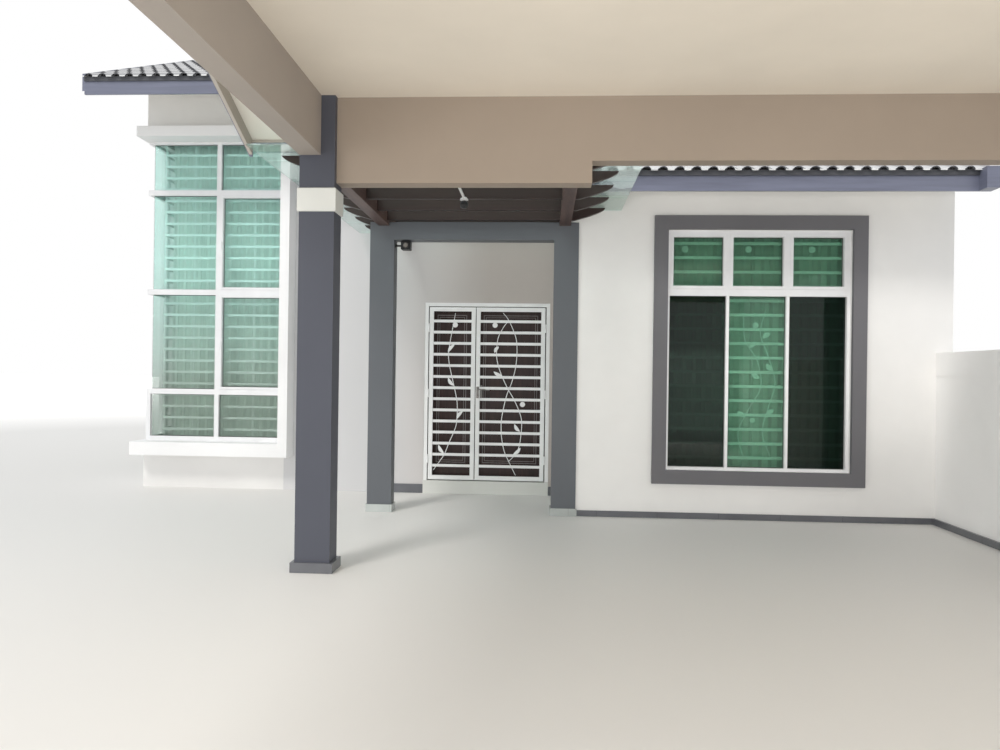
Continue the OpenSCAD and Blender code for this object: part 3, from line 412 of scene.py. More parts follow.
# one mesh from closed shells; a shell is its points and its lists of faces with 3 or 4 corners
def makePiece(name, shells, material, body="house", sharpDeg=35.0, uv=None):
    places, corners, counts, start = [], [], [], 0
    for points, faces in shells:
        points = np.asarray(points, float).reshape(-1, 3)
        faces = outwards(points, faces)
        places.append(points)
        for block in faces:
            corners.append((block + start).ravel())
            counts.append(np.full(len(block), block.shape[1]))
        start += len(points)
    places, corners, counts = np.concatenate(places), np.concatenate(corners), np.concatenate(counts)
    data = bpy.data.meshes.new(name)
    data.vertices.add(len(places))
    data.vertices.foreach_set("co", places.ravel())
    data.loops.add(len(corners))
    data.loops.foreach_set("vertex_index", corners.astype(np.int32))
    data.polygons.add(len(counts))
    data.polygons.foreach_set("loop_start", np.concatenate([[0], np.cumsum(counts)[:-1]]).astype(np.int32))
    data.polygons.foreach_set("loop_total", counts.astype(np.int32))
    data.polygons.foreach_set("use_smooth", np.ones(len(counts), bool))
    data.materials.append(material)
    data.update(calc_edges=True)
    data.validate()
    if uv is not None:
        layer = data.uv_layers.new(name="cloth")
        layer.data.foreach_set("uv", uv[corners].ravel())
    data.set_sharp_from_angle(angle=math.radians(sharpDeg))
    piece = bpy.data.objects.new(name, data)
    bpy.context.scene.collection.objects.link(piece)
    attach(piece, body)
    return piece


# closed slab between two grids of the same shape; du x dv of the top points out of the slab
def slabBetween(top, bottom):
    nu, nv = top.shape[:2]
    index = np.arange(nu * nv).reshape(nu, nv)
    a, b, c, d = index[:-1, :-1], index[1:, :-1], index[1:, 1:], index[:-1, 1:]
    upper = np.stack([a, b, c, d], -1).reshape(-1, 4)
    lower = upper[:, ::-1] + nu * nv
    ring = np.concatenate([index[:, 0], index[-1, 1:], index[-2::-1, -1], index[0, -2:0:-1]])
    after = np.roll(ring, -1)
    rim = np.stack([after, ring, ring + nu * nv, after + nu * nv], -1)
    return np.concatenate([top.reshape(-1, 3), bottom.reshape(-1, 3)]), [upper, lower, rim]


# faces of a grid that closes on itself both ways
def wrappedFaces(rows, columns):
    index = np.arange(rows * columns).reshape(rows, columns)
    side, up = np.roll(index, -1, axis=0), np.roll(index, -1, axis=1)
    return [np.stack([index, side, np.roll(side, -1, axis=1), up], -1).reshape(-1, 4)]


def unit(v):
    v = np.asarray(v, float)
    return v / np.maximum(np.linalg.norm(v, axis=-1, keepdims=True), 1e-12)


# a circle carried along a path, radius r(u) at each point, closed by a pole at each end;
# flat squeezes it along the side vector
def tube(path, radius, sides=10, side=(0, 1, 0), tangent=None, flat=1.0):
    path = np.asarray(path, float)
    r = np.broadcast_to(np.asarray(radius, float), (len(path),))
    t = unit(np.gradient(path, axis=0)) if tangent is None else np.broadcast_to(unit(tangent), path.shape)
    across = unit(np.cross(np.asarray(side, float), t))
    other = np.cross(t, across) * flat
    turn = np.arange(sides) / sides * 2 * math.pi
    rings = path[:, None] + r[:, None, None] * (np.cos(turn)[None, :, None] * across[:, None]
                                                - np.sin(turn)[None, :, None] * other[:, None])
    n = len(path)
    index = np.arange(n * sides).reshape(n, sides)
    nxt = np.roll(index, -1, axis=1)
    walls = np.stack([index[:-1], index[1:], nxt[1:], nxt[:-1]], -1).reshape(-1, 4)
    first = np.stack([index[0], nxt[0], np.full(sides, n * sides)], -1)
    last = np.stack([nxt[-1], index[-1], np.full(sides, n * sides + 1)], -1)
    return np.concatenate([rings.reshape(-1, 3), path[:1], path[-1:]]), [walls, first, last]


# a turned shape: rows of distance along the axis and radius
def turned(centre, axis, rows, sides=24):
    rows = np.asarray(rows, float)
    axis = unit(axis)
    side = (0, 0, 1) if abs(axis[2]) < 0.9 else (0, 1, 0)
    return tube(np.asarray(centre, float) + rows[:, :1] * axis, rows[:, 1], sides, side, axis)


# index table of a box whose edges and corners are cut: each corner has one point for each face it meets
def cutBoxTable():
    signs = np.array([[x, y, z] for x in (-1, 1) for y in (-1, 1) for z in (-1, 1)], float)
    points = np.repeat(signs[:, None, :], 3, axis=1)
    for k in range(3):
        keep = np.ones(3) * 0.8
        keep[k] = 1.0
        points[:, k] = signs * keep
    flat = points.reshape(-1, 3)
    quads, tris = [], []
    for k in range(3):
        i, j = [m for m in range(3) if m != k]
        for s in (-1, 1):
            ring = [n * 3 + k for n in range(8) if signs[n][k] == s]
            ring = [ring[0], ring[1], ring[3], ring[2]]
            quads.append(ring)
        for si in (-1, 1):
            for sj in (-1, 1):
                a, b = [n for n in range(8) if signs[n][i] == si and signs[n][j] == sj]
                quads.append([a * 3 + i, b * 3 + i, b * 3 + j, a * 3 + j])
    for n in range(8):
        tris.append([n * 3, n * 3 + 1, n * 3 + 2])
    out = []
    for faces in (quads, tris):
        faces = np.array(faces)
        p = flat[faces]
        normal = np.cross(p[:, 1] - p[:, 0], p[:, 2] - p[:, 1])
        inward = np.einsum("ij,ij->i", normal, p.mean(1)) < 0
        faces[inward] = faces[inward][:, ::-1]
        out.append(faces)
    return signs, out[0], out[1]


cutSigns, cutQuads, cutTris = cutBoxTable()


# many boxes with cut edges in one shell list; low and high are rows of corners, cut is the width of the cut
def cutBoxes(low, high, cut=0.002):
    low, high = np.atleast_2d(np.asarray(low, float)), np.atleast_2d(np.asarray(high, float))
    centre, half = (low + high) / 2, (high - low) / 2
    cut = np.minimum(cut, half.min(axis=1) * 0.8)[:, None, None, None]
    inset = (1 - np.eye(3))[None, None]
    points = centre[:, None, None] + cutSigns[None, :, None] * (half[:, None, None] - cut * inset)
    start = (np.arange(len(low)) * 24)[:, None, None]
    return points.reshape(-1, 3), [(cutQuads + start).reshape(-1, 4), (cutTris + start).reshape(-1, 3)]


def boxesOf(pairs, cut):
    return cutBoxes([p[0] for p in pairs], [p[1] for p in pairs], cut)


# four butt-jointed bars round an opening x0..x1, z0..z1, width w inwards, between y0 and y1
def ringBars(x0, x1, z0, z1, w, y0, y1):
    return [((x0, y0, z0), (x0 + w, y1, z1)), ((x1 - w, y0, z0), (x1, y1, z1)),
            ((x0 + w, y0, z0), (x1 - w, y1, z0 + w)), ((x0 + w, y0, z1 - w), (x1 - w, y1, z1))]


# smooth curve through points by Catmull-Rom pieces, sampled evenly in its parameter
def smoothPath(points, perPiece=8):
    p = np.asarray(points, float)
    p = np.concatenate([2 * p[:1] - p[1:2], p, 2 * p[-1:] - p[-2:-1]])
    t = (np.arange(perPiece) / perPiece)[None, :, None]
    a, b, c, d = (p[k:len(p) - 3 + k][:, None] for k in range(4))
    curve = 0.5 * (2 * b + (c - a) * t + (2 * a - 5 * b + 4 * c - d) * t ** 2
                   + (3 * b - a - 3 * c + d) * t ** 3)
    return np.concatenate([curve.reshape(-1, p.shape[1]), p[-2:-1]])


# place of the house's planes in metres, the same as in the solids
house = {
    "xSideIn": 1.1425, "yPorch": -3.513, "yPorchEnd": -8.87, "xPorch": -0.987, "xColumnR": 4.4,
    "column": 0.25, "columnD": 0.185, "pitchDeg": 25.0, "board": 0.025, "nose": 0.045, "overFascia": 0.045,
    "slopeT": 0.14,
}
# roofs: front eave, rear eave, fascia top, x range of the tiles
roofs = {
    "high": (-0.92, 8.36, 4.57, -4.275, 1.2675),
    "low": (-1.9, 8.36, 3.29, 0.9425, 4.71),
    "porch": (-9.183, -3.2, 3.255, -1.515, 4.71),
}


def roofTop(roof, y):  # height of the tiles' top plane over y
    front, rear, top = roofs[roof][:3]
    rise = np.minimum(y - front, rear - y) * math.tan(math.radians(house["pitchDeg"]))
    return top + house["overFascia"] + rise


def ridgeLine(roof):
    return (roofs[roof][0] + roofs[roof][1]) / 2


tileShape = {
    "rollPitch": tileLook["pitch"], "rollWidth": 0.078, "rollHeight": 0.026,
    "course": 0.296, "noseStep": 0.016, "thickness": 0.012, "deckGap": 0.056,
    "panelJoint": 0.9,    # spacing of the joints in the soffit boards
}


# offset under the tiles' top plane: pan(x) + saw(s); pan is 0 on a roll's crest and falls to the roll's height
# as a root of a cosine, with a shallow dip between rolls; saw falls by noseStep from foot to head of a course
def tileSheet(roof, side, x0, x1, yStop):
    shape = tileShape
    eave = roofs[roof][0] if side > 0 else roofs[roof][1]
    half = shape["rollWidth"] / 2
    local = np.array([-1.0, -0.86, -0.6, -0.3, 0.0, 0.3, 0.6, 0.86, 1.0, 1.7, 2.5, 3.3]) * half
    rolls = np.arange(math.floor(x0 / shape["rollPitch"]) - 1, math.ceil(x1 / shape["rollPitch"]) + 2)
    xs = (rolls[:, None] * shape["rollPitch"] + local[None]).ravel()
    xs = np.concatenate([[x0], xs[(xs > x0 + 0.001) & (xs < x1 - 0.001)], [x1]])
    fromRoll = np.abs(xs - np.round(xs / shape["rollPitch"]) * shape["rollPitch"])
    hump = np.cos(np.clip(fromRoll / half, 0, 1) * math.pi / 2) ** 0.6
    dip = 0.002 * np.clip((fromRoll - half) / (shape["rollPitch"] / 2 - half), 0, 1)
    pan = shape["rollHeight"] * (1 - hump) + dip
    run = abs(yStop - eave) + house["nose"]
    step = shape["course"] * math.cos(math.radians(house["pitchDeg"]))
    feet = np.arange(0, run, step)
    heads = np.minimum(feet + step, run)
    ss = np.stack([feet, (feet + heads) / 2, heads], -1).ravel()
    saw = np.tile([0.0, 0.5, 1.0], len(feet)) * shape["noseStep"]
    y = eave + side * (ss - house["nose"])
    plane = roofTop(roof, y)
    grid = np.empty((len(xs), len(ss), 3))
    grid[..., 0] = xs[:, None]
    grid[..., 1] = y[None, :]
    grid[..., 2] = plane[None, :] - pan[:, None] - saw[None, :]
    if side < 0:
        grid = grid[::-1]
    return slabBetween(grid, grid - [0, 0, shape["thickness"]])


# boarded deck under the tiles, from behind the fascia to yStop, with thin joints in its underside
def roofDeck(roof, side, x0, x1, yStop):
    eave = roofs[roof][0] if side > 0 else roofs[roof][1]
    spacing = tileShape["panelJoint"]
    joints = np.arange(math.ceil(x0 / spacing), x1 / spacing) * spacing
    joints = joints[(joints > x0 + 0.02) & (joints < x1 - 0.02)]
    xs = np.sort(np.concatenate([[x0, x1], joints - 0.004, joints - 0.001, joints + 0.001, joints + 0.004]))
    near = np.abs(xs[:, None] - joints[None]).min(1) if len(joints) else np.ones(len(xs))
    groove = np.where(near < 0.003, 0.004, 0.0)
    y = np.array([eave + side * house["board"], yStop])
    top = np.empty((len(xs), 2, 3))
    top[..., 0] = xs[:, None]
    top[..., 1] = y[None]
    top[..., 2] = roofTop(roof, y)[None] - tileShape["deckGap"]
    low = top.copy()
    low[..., 2] = roofTop(roof, y)[None] - house["slopeT"] + groove[:, None]
    if side < 0:
        top, low = top[::-1], low[::-1]
    return slabBetween(top, low)


# noses are the faces that look straight along Y: dark within half a roll's width of a roll's middle, as
# painted shade under the rolls' ends, else pale, as a painted highlight
def markNoses(sheet):
    faces = sheet.data.polygons
    normal, middle = np.empty(3 * len(faces)), np.empty(3 * len(faces))
    faces.foreach_get("normal", normal)
    faces.foreach_get("center", middle)
    x = middle[::3]
    fromRoll = np.abs(x - np.round(x / tileShape["rollPitch"]) * tileShape["rollPitch"])
    kind = np.where(fromRoll < tileShape["rollWidth"] / 2, 1, 2) * (np.abs(normal[1::3]) > 0.9)
    sheet.data.materials.append(rollNoseShade)
    sheet.data.materials.append(panNoseHighlight)
    faces.foreach_set("material_index", kind.astype(np.int32))


def coverSlope(node, roof, side, spans):  # spans are x0, x1 and how far up the slope they reach
    name = node.replace("_", " ").title().replace(" ", "")
    sheet = makePiece("tiles" + name, [tileSheet(roof, side, *span) for span in spans], roofTile)
    markNoses(sheet)
    deck = makePiece("soffit" + name, [roofDeck(roof, side, *span) for span in spans], creamPaint)
    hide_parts(node)
    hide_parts(node)


for roof in ("high", "porch"):
    for side, end in ((1, "front"), (-1, "rear")):
        coverSlope(f"{roof}_roof_{end}", roof, side, [(roofs[roof][3], roofs[roof][4], ridgeLine(roof))])
coverSlope("low_roof_front", "low", 1, [(roofs["low"][3], house["xSideIn"], 0.0),
                                        (house["xSideIn"], roofs["low"][4], ridgeLine("low"))])
coverSlope("low_roof_rear", "low", -1, [(house["xSideIn"], roofs["low"][4], ridgeLine("low"))])
print("six tiled slopes laid")

ridgeShape = {"length": 0.4, "lap": 0.035, "noseR": 0.118, "bodyR": 0.111, "tailR": 0.104, "wall": 0.013,
              "sink": 0.045, "fromDeg": -14.0}


# ridge caps: half rounds of radius r(x) that swell to a bead at the nose, each lapped over the next
def ridgeCaps(roof, x0, x1):
    look = ridgeShape
    count = int(round((x1 - x0 - look["lap"]) / (look["length"] - look["lap"])))
    pitch = (x1 - x0 - look["lap"]) / count
    rows = np.array([[0.0, look["noseR"] - 0.004], [0.006, look["noseR"]], [0.026, look["noseR"]],
                     [0.034, look["bodyR"]], [pitch + look["lap"], look["tailR"]]])
    turn = np.radians(np.linspace(look["fromDeg"], 180 - look["fromDeg"], 15))
    y, z = ridgeLine(roof), roofTop(roof, ridgeLine(roof)) - look["sink"]

    def surface(inset, k):
        r = rows[:, 1][:, None] - inset
        grid = np.empty((len(rows), len(turn), 3))
        grid[..., 0] = x0 + k * pitch + rows[:, :1]
        grid[..., 1] = y + r * np.cos(turn[::-1])
        grid[..., 2] = z + r * np.sin(turn[::-1])
        return grid
    return [slabBetween(surface(0.0, k), surface(look["wall"], k)) for k in range(count)]


caps = makePiece("ridgeCaps", ridgeCaps("high", -4.3, 1.2925) + ridgeCaps("low", 1.1425, 4.71)
                 + ridgeCaps("porch", -1.54, 4.71), ridgeTile)
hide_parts("ridge_tiles")
print("ridge capped")

verge = {"lining": 0.006, "cap": 0.0012, "capGap": 0.0003, "capW": 0.019, "underSoffit": 0.001, "ends": 0.025,
         "drop": 0.06, "porchDrop": 0.11, "rearEnd": 8.335, "fasciaX": (-1.509, 4.709),
         "fasciaZ": (3.1503, 3.1708)}


# a strip along a slope between x0 and x1, from the depth high to the depth low under the tiles' top plane
def slopeStrip(roof, x0, x1, y0, y1, high, low):
    ys = np.array(sorted({y0, min(max(ridgeLine(roof), y0), y1), y1}))
    top = np.empty((2, len(ys), 3))
    top[..., 0] = np.array([x0, x1])[:, None]
    top[..., 1] = ys[None]
    top[..., 2] = (roofTop(roof, ys) - high)[None]
    foot = top.copy()
    foot[..., 2] = (roofTop(roof, ys) - low)[None]
    return slabBetween(top, foot)


# cream lining on the inner face of a barge board, and a cream strip under most of the board's lower edge
def bargeLining(roof, x, towards, y1, drop):
    look = verge
    y0 = roofs[roof][0] + look["ends"]
    under = house["slopeT"] + look["underSoffit"]
    foot = house["slopeT"] + drop
    a, b = sorted((x, x + towards * look["lining"]))
    c, d = sorted((x + towards * look["lining"], x - towards * look["capW"]))
    return [slopeStrip(roof, a, b, y0, y1, under, foot),
            slopeStrip(roof, c, d, y0, y1, foot + look["capGap"], foot + look["cap"])]


rearFasciaIn = roofs["porch"][1] - house["board"]
linings = bargeLining("porch", roofs["porch"][3], 1, rearFasciaIn, verge["porchDrop"])
linings += bargeLining("high", roofs["high"][3], 1, verge["rearEnd"], verge["drop"])
linings += bargeLining("high", roofs["high"][4], -1, verge["rearEnd"], verge["drop"])
linings += bargeLining("low", roofs["low"][3], 1, -0.001, verge["drop"])
# and one along the inner face of the porch's rear fascia
(x0, x1), (z0, z1) = verge["fasciaX"], verge["fasciaZ"]
linings.append(boxesOf([((x0, rearFasciaIn - verge["lining"], z0), (x1, rearFasciaIn, z1))], 0.001))
makePiece("bargeLinings", linings, liningPaint, sharpDeg=20)

# a dark strip of painted shade in front of each fascia's top, under the tiles' edge, where the tiles' noses
# shade the board
eaveShadowStrip = {"h": 0.052, "proud": 0.016}
shadowStrips = []
for roof, x0, x1 in (("high", -4.275, 1.2675), ("low", 0.9425, 4.594), ("porch", -1.515, 4.71)):
    for y, side in ((roofs[roof][0], -1), (roofs[roof][1], 1)):
        near, far = sorted((y, y + side * eaveShadowStrip["proud"]))
        shadowStrips.append(((x0, near, roofs[roof][2] - eaveShadowStrip["h"]), (x1, far, roofs[roof][2])))
makePiece("eaveShadowStrips", [boxesOf(shadowStrips, 0.003)], eaveShadowPaint, sharpDeg=20)
print("verges lined")

collarShape = {"low": 2.525, "high": 2.69, "proud": 0.012, "cut": 0.005}


# a mitred band round a column: its section, with cut edges, is carried round the four corners
def collar(x, y):
    look = collarShape
    w, d = house["column"], house["columnD"]
    low, high, out, cut = look["low"], look["high"], look["proud"], look["cut"]
    section = np.array([[0, low], [out - cut, low], [out, low + cut], [out, high - cut], [out - cut, high],
                        [0, high]])
    corners = np.array([[0, 0, -1, -1], [w, 0, 1, -1], [w, d, 1, 1], [0, d, -1, 1]], float)
    grid = np.empty((4, len(section), 3))
    grid[..., 0] = x + corners[:, :1] + corners[:, 2:3] * section[:, 0]
    grid[..., 1] = y + corners[:, 1:2] + corners[:, 3:4] * section[:, 0]
    grid[..., 2] = section[:, 1]
    return grid.reshape(-1, 3), wrappedFaces(4, len(section))


bands = makePiece("columnBands", [collar(x, y) for x in (house["xPorch"], house["xColumnR"])
                                  for y in (house["yPorch"] - house["columnD"], house["yPorchEnd"])],
                  bandPaint, sharpDeg=20)
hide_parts("column_collars")
print("columns banded")

# windows as middle x, y, and turn in degrees, as in the solids
windowPlaces = [(2.85, -1.27, 0), (-4.05, 2.3, -90), (-4.05, 5.5, -90), (-1.45, 7.73, 180), (2.85, 7.73, 180)]
windowShape = {
    "half": 0.895, "sill": 0.48, "head": 2.865, "transom": 2.248, "transomH": 0.066, "frame": 0.03,
    "sash": 0.034, "face": 0.04, "glass": 0.085, "rimProud": 0.006, "rimW": 0.027, "rimGap": 0.003,
    "gasket": 0.005, "gasketD": 0.006, "bars": 0.118, "barLow": 0.5865, "barPitch": 0.1432, "barH": 0.03,
    "barT": 0.006, "barCut": 0.0015, "uprightHalf": 0.007, "rodR": 0.005, "discs": (-0.707, -0.079, 0.543),
}


def turnedTo(shells, place):  # local window coordinates to the house's
    a = math.radians(place[2])
    spin = np.array([[math.cos(a), -math.sin(a), 0], [math.sin(a), math.cos(a), 0], [0, 0, 1]])
    return [(points @ spin.T + [place[0], place[1], 0], faces) for points, faces in shells]


# panes as x0, x1, z0, z1 for the lower row and the sashes of the upper row
def windowPanes(w):
    bay = (2 * w["half"] - w["frame"]) / 3
    spans = [(x, x + bay - w["frame"]) for x in (-w["half"] + w["frame"] + k * bay for k in range(3))]
    lower = [(x0, x1, w["sill"] + w["frame"], w["transom"] - w["transomH"] / 2) for x0, x1 in spans]
    upper = [(x0, x1, w["transom"] + w["transomH"] / 2, w["head"] - w["frame"]) for x0, x1 in spans]
    return lower, upper


# a leaf: half width w(u) = W * sin(pi u) ** 0.8 along its spine, with a raised midrib
def leafShape(base, tip, width, y, thick=0.004):
    u = np.linspace(0.03, 0.97, 9)
    v = np.linspace(-1, 1, 5)
    base, tip = np.asarray(base, float), np.asarray(tip, float)
    along = tip - base
    across = np.array([-along[1], along[0]]) / np.hypot(*along)
    half = width / 2 * np.sin(math.pi * u) ** 0.8
    bend = 0.1 * np.hypot(*along) * np.sin(math.pi * u)
    bow = v[None, :, None] * half[:, None, None] + bend[:, None, None]
    flat = base + u[:, None, None] * along + bow * across
    face = np.empty(flat.shape[:2] + (3,))
    face[..., 0], face[..., 2] = flat[..., 0], flat[..., 1]
    face[..., 1] = y - thick * (1 - 0.6 * np.abs(v))[None] * np.sin(math.pi * u)[:, None] - 0.001
    back = face.copy()
    back[..., 1] = y
    return slabBetween(face, back)


# a round boss: flat back, rolled edge and a low dome
def bossShape(x, z, radius, y, thick=0.009):
    rows = [(0, radius * 0.94), (thick * 0.3, radius), (thick * 0.62, radius * 0.96),
            (thick * 0.7, radius * 0.8), (thick * 0.8, radius * 0.5), (thick, radius * 0.12)]
    return turned((x, y, z), (0, -1, 0), rows, 20)


# a wrought vine: bent rods with thickness that tapers to the ends, bosses and leaves, all just in front of y
def vineShapes(rods, bosses, leaves, y, radius):
    shells = []
    for rod in rods:
        path = smoothPath(rod, 7)
        u = np.linspace(0, 1, len(path))
        taper = radius * (0.62 + 0.38 * np.sin(math.pi * u) ** 0.5)
        shells.append(tube(np.stack([path[:, 0], np.full(len(path), y - radius), path[:, 1]], -1), taper, 8))
    shells += [bossShape(x, z, r, y - radius) for x, z, r in bosses]
    shells += [leafShape((x, z), (x + dx, z + dz), w, y - radius) for x, z, dx, dz, w in leaves]
    return shells


# the vine on the middle bars of a window, in x and z
barVine = {
    "rods": [[(-0.1, 0.6), (-0.16, 0.85), (-0.05, 1.1), (0.06, 1.32), (0.02, 1.58), (-0.1, 1.78),
              (-0.12, 2.05)],
             [(0.16, 0.62), (0.08, 0.86), (0.14, 1.12), (0.2, 1.36), (0.13, 1.62), (0.05, 1.85), (0.1, 2.1)]],
    "bosses": [(0.0, 1.93, 0.03), (-0.02, 0.98, 0.026)],
    "leaves": [(-0.08, 1.02, -0.09, 0.05, 0.05), (0.05, 1.4, -0.08, 0.06, 0.05),
               (-0.06, 1.7, 0.08, 0.06, 0.05), (0.12, 1.02, 0.07, 0.07, 0.05),
               (0.18, 1.48, -0.07, 0.07, 0.05), (0.07, 1.8, 0.08, 0.05, 0.05)],
    "discDown": 0.175, "discR": 0.034,
}


def windowBars(w):  # burglar bars behind the glass: flats at barPitch, four uprights, and a vine in the middle
    y0, y1, thin = w["bars"], w["bars"] + w["barT"], w["uprightHalf"]
    half = w["half"]
    levels = np.arange(w["barLow"], w["head"] - 0.045, w["barPitch"])
    flats = [((-half + 0.004, y0, z), (half - 0.004, y1, z + w["barH"])) for z in levels]
    uprights = [((x - thin, y1, w["sill"] + 0.02), (x + thin, y1 + w["barT"], w["head"] - 0.02))
                for x in (-half + 0.02, -half / 3, half / 3, half - 0.02)]
    shells = [boxesOf(flats, w["barCut"]), boxesOf(uprights, w["barCut"])]
    discs = [(x, w["head"] - barVine["discDown"], barVine["discR"]) for x in w["discs"]]
    return shells + vineShapes(barVine["rods"], discs + barVine["bosses"], barVine["leaves"], y0, w["rodR"])


# a thin rim on each upper sash, and a gasket round every pane
def windowRings(w):
    lower, upper = windowPanes(w)
    gap, s, behind, glass = w["rimGap"], w["sash"], w["glass"] - w["gasketD"], w["glass"]
    rimPairs = [bar for x0, x1, z0, z1 in upper
                for bar in ringBars(x0 + gap, x1 - gap, z0 + gap, z1 - gap, w["rimW"],
                                    w["face"] - w["rimProud"], w["face"])]
    gasketPairs = [bar for x0, x1, z0, z1 in lower
                   for bar in ringBars(x0, x1, z0, z1, w["gasket"], behind, glass)]
    gasketPairs += [bar for x0, x1, z0, z1 in upper
                    for bar in ringBars(x0 + s, x1 - s, z0 + s, z1 - s, w["gasket"], behind, glass)]
    return boxesOf(rimPairs, 0.0015), boxesOf(gasketPairs, 0.001)


rims, gaskets, bars = [], [], []
rimShell, gasketShell = windowRings(windowShape)
barShells = windowBars(windowShape)
for place in windowPlaces:
    rims += turnedTo([rimShell], place)
    gaskets += turnedTo([gasketShell], place)
    bars += turnedTo(barShells, place)
print("window fittings shaped")

# the corner window: its posts and transoms as in the solids
bayShape = {
    "left": -4.035, "right": -2.335, "mid": -3.1705, "post": 0.052, "sill": 0.56, "head": 4.14,
    "transoms": (1.149, 2.341, 3.533), "transomH": 0.064, "casement": 0.03, "face": 0.015, "glass": 0.06,
    "return": 0.45, "bars": 0.1, "barTop": 3.992, "barPitch": 0.138, "barLeft": -3.875,
    "handleZ": (1.745, 2.937), "handleIn": 0.024,
}


def bayRows(b):  # openings between the transoms, from bottom to top
    z = (b["sill"],) + b["transoms"] + (b["head"],)
    return [(z[k] + (b["post"] if k == 0 else b["transomH"] / 2),
             z[k + 1] - (b["post"] / 2 if k == 3 else b["transomH"] / 2)) for k in range(4)]


# rims of the two casements, and gaskets round the panes
def bayRings(b, w):
    midLeft, midRight, edgeRight = b["mid"] - b["post"] / 2, b["mid"] + b["post"] / 2, b["right"] - b["post"]
    gap, bead, glass, behind = w["rimGap"], w["gasket"], b["glass"], b["glass"] - w["gasketD"]
    corner = b["left"] + 0.06
    rimPairs, gasketPairs = [], []
    for k, (z0, z1) in enumerate(bayRows(b)):
        sash = b["casement"] if k in (1, 2) else 0.0
        if sash:
            rimPairs += ringBars(midRight + gap, edgeRight - gap, z0 + gap, z1 - gap, sash - 0.008,
                                 b["face"] - w["rimProud"], b["face"])
        gasketPairs += ringBars(midRight + sash, edgeRight - sash, z0 + sash, z1 - sash, bead, behind, glass)
        gasketPairs += [((midLeft - bead, behind, z0), (midLeft, glass, z1)),
                        ((corner, behind, z0), (midLeft - bead, glass, z0 + bead)),
                        ((corner, behind, z1 - bead), (midLeft - bead, glass, z1))]
    return boxesOf(rimPairs, 0.0015), boxesOf(gasketPairs, 0.001)


# burglar bars across the front and the return of the corner window, with their uprights
def bayBars(b, w):
    left, right, y0, y1, thin = b["barLeft"], b["right"], b["bars"], b["bars"] + w["barT"], w["uprightHalf"]
    foot, top = b["sill"] + 0.01, b["head"] - 0.01
    levels = np.arange(b["barTop"], b["sill"] + 0.06, -b["barPitch"])
    flats = [((left, y0, z), (right - 0.004, y1, z + w["barH"])) for z in levels]
    sideFlats = [((left - 0.003, y1 + 0.001, z), (left + 0.003, b["return"] - 0.006, z + w["barH"]))
                 for z in levels]
    uprights = [((x - thin, y1, foot), (x + thin, y1 + w["barT"], top))
                for x in (left + 0.012, -3.5, b["mid"], -2.76, right - 0.02)]
    uprights.append(((left + 0.003, b["return"] - 0.022, foot), (left + 0.009, b["return"] - 0.008, top)))
    return [boxesOf(pairs, w["barCut"]) for pairs in (flats, sideFlats, uprights)]


# stay handle of a casement: a plate and a short lever on its left stile
def stayHandle(b, z):
    x, y = b["mid"] + b["post"] / 2 + b["handleIn"], b["face"]
    lever = smoothPath([(x, y - 0.01, z), (x, y - 0.034, z), (x, y - 0.04, z - 0.03),
                        (x, y - 0.04, z - 0.095)], 5)
    return [boxesOf([((x - 0.011, y - 0.012, z - 0.045), (x + 0.011, y - 0.006, z + 0.045))], 0.002),
            tube(lever, 0.006, 10, side=(1, 0, 0))]


rimShell, gasketShell = bayRings(bayShape, windowShape)
handles = [shell for z in bayShape["handleZ"] for shell in stayHandle(bayShape, z)]
makePiece("sashRims", rims + [rimShell], frameWhite)
makePiece("glazingGaskets", gaskets + [gasketShell], rubberBlack)
makePiece("casementHandles", handles, frameWhite)
makePiece("burglarBars", bars + bayBars(bayShape, windowShape), steelWhite)
print("windows fitted")

curtainShape = {
    "pleat": 0.098, "depth": 0.026, "deepest": 0.031, "swell": 0.55, "thick": 0.0018, "middle": 0.255,
    "rows": 26,
    "bay": (-3.84, -2.275, 0.445, 4.198),      # x0, x1, z0, z1 of the corner window's cloth
    "window": (0.003, 0.955, 0.365, 2.923),    # the same for the right half of every other window's pair
}


# a gathered curtain: across the cloth x = s + swell * depth * sin(2 q) and y = depth * sin(q), where q turns
# once a pleat; the depth grows from the heading down, and slow waves move the folds
def curtain(name, place, x0, x1, z0, z1, phase, cloth=curtainPale):
    look = curtainShape
    pleats = max(3, round((x1 - x0) / look["pleat"]))
    q = np.linspace(0, 2 * math.pi * pleats, pleats * 12 + 1)
    s = x0 + (x1 - x0) * q / q[-1]
    down = np.linspace(0, 1, look["rows"])
    depth = look["depth"] * (0.72 + 0.28 * down ** 0.6)[None] * (1 + 0.12 * np.sin(q * 0.37 + phase))[:, None]
    depth = np.minimum(depth, look["deepest"])
    wander = 0.006 * np.sin(q * 0.21 + phase)[:, None] * np.sin(down * 2.6)[None]
    edge = np.minimum(1, np.minimum(q, q[-1] - q) / math.pi)[:, None]
    grid = np.empty((len(q), len(down), 3))
    grid[..., 0] = s[:, None] + edge * (look["swell"] * depth * np.sin(2 * q)[:, None] + wander)
    grid[..., 1] = look["middle"] + depth * np.sin(q)[:, None]
    grid[..., 2] = z0 + (z1 - z0) * down[None]
    length = np.concatenate([[0], np.cumsum(np.linalg.norm(np.diff(grid[:, 12], axis=0), axis=1))])
    uvGrid = np.stack(np.broadcast_arrays(length[:, None], (z1 - z0) * down[None]), -1).reshape(-1, 2)
    normal = unit(np.cross(np.gradient(grid, axis=0), np.gradient(grid, axis=1)))
    shell = slabBetween(grid, grid - normal * look["thick"])
    piece = makePiece(name, turnedTo([shell], place), cloth, sharpDeg=180, uv=np.concatenate([uvGrid, uvGrid]))
    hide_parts("curtains")
    return piece


curtain("bayCurtain", (0, 0, 0), *curtainShape["bay"], 0.4, curtainLight)
near, far, z0, z1 = curtainShape["window"]
for k, place in enumerate(windowPlaces):
    for part, (x0, x1) in (("Left", (-far, -near)), ("Right", (near, far))):
        curtain(f"windowCurtain{k + 1}{part}", place, x0, x1, z0, z1, k * 1.3 + (part == "Right"))
print("curtains hung")

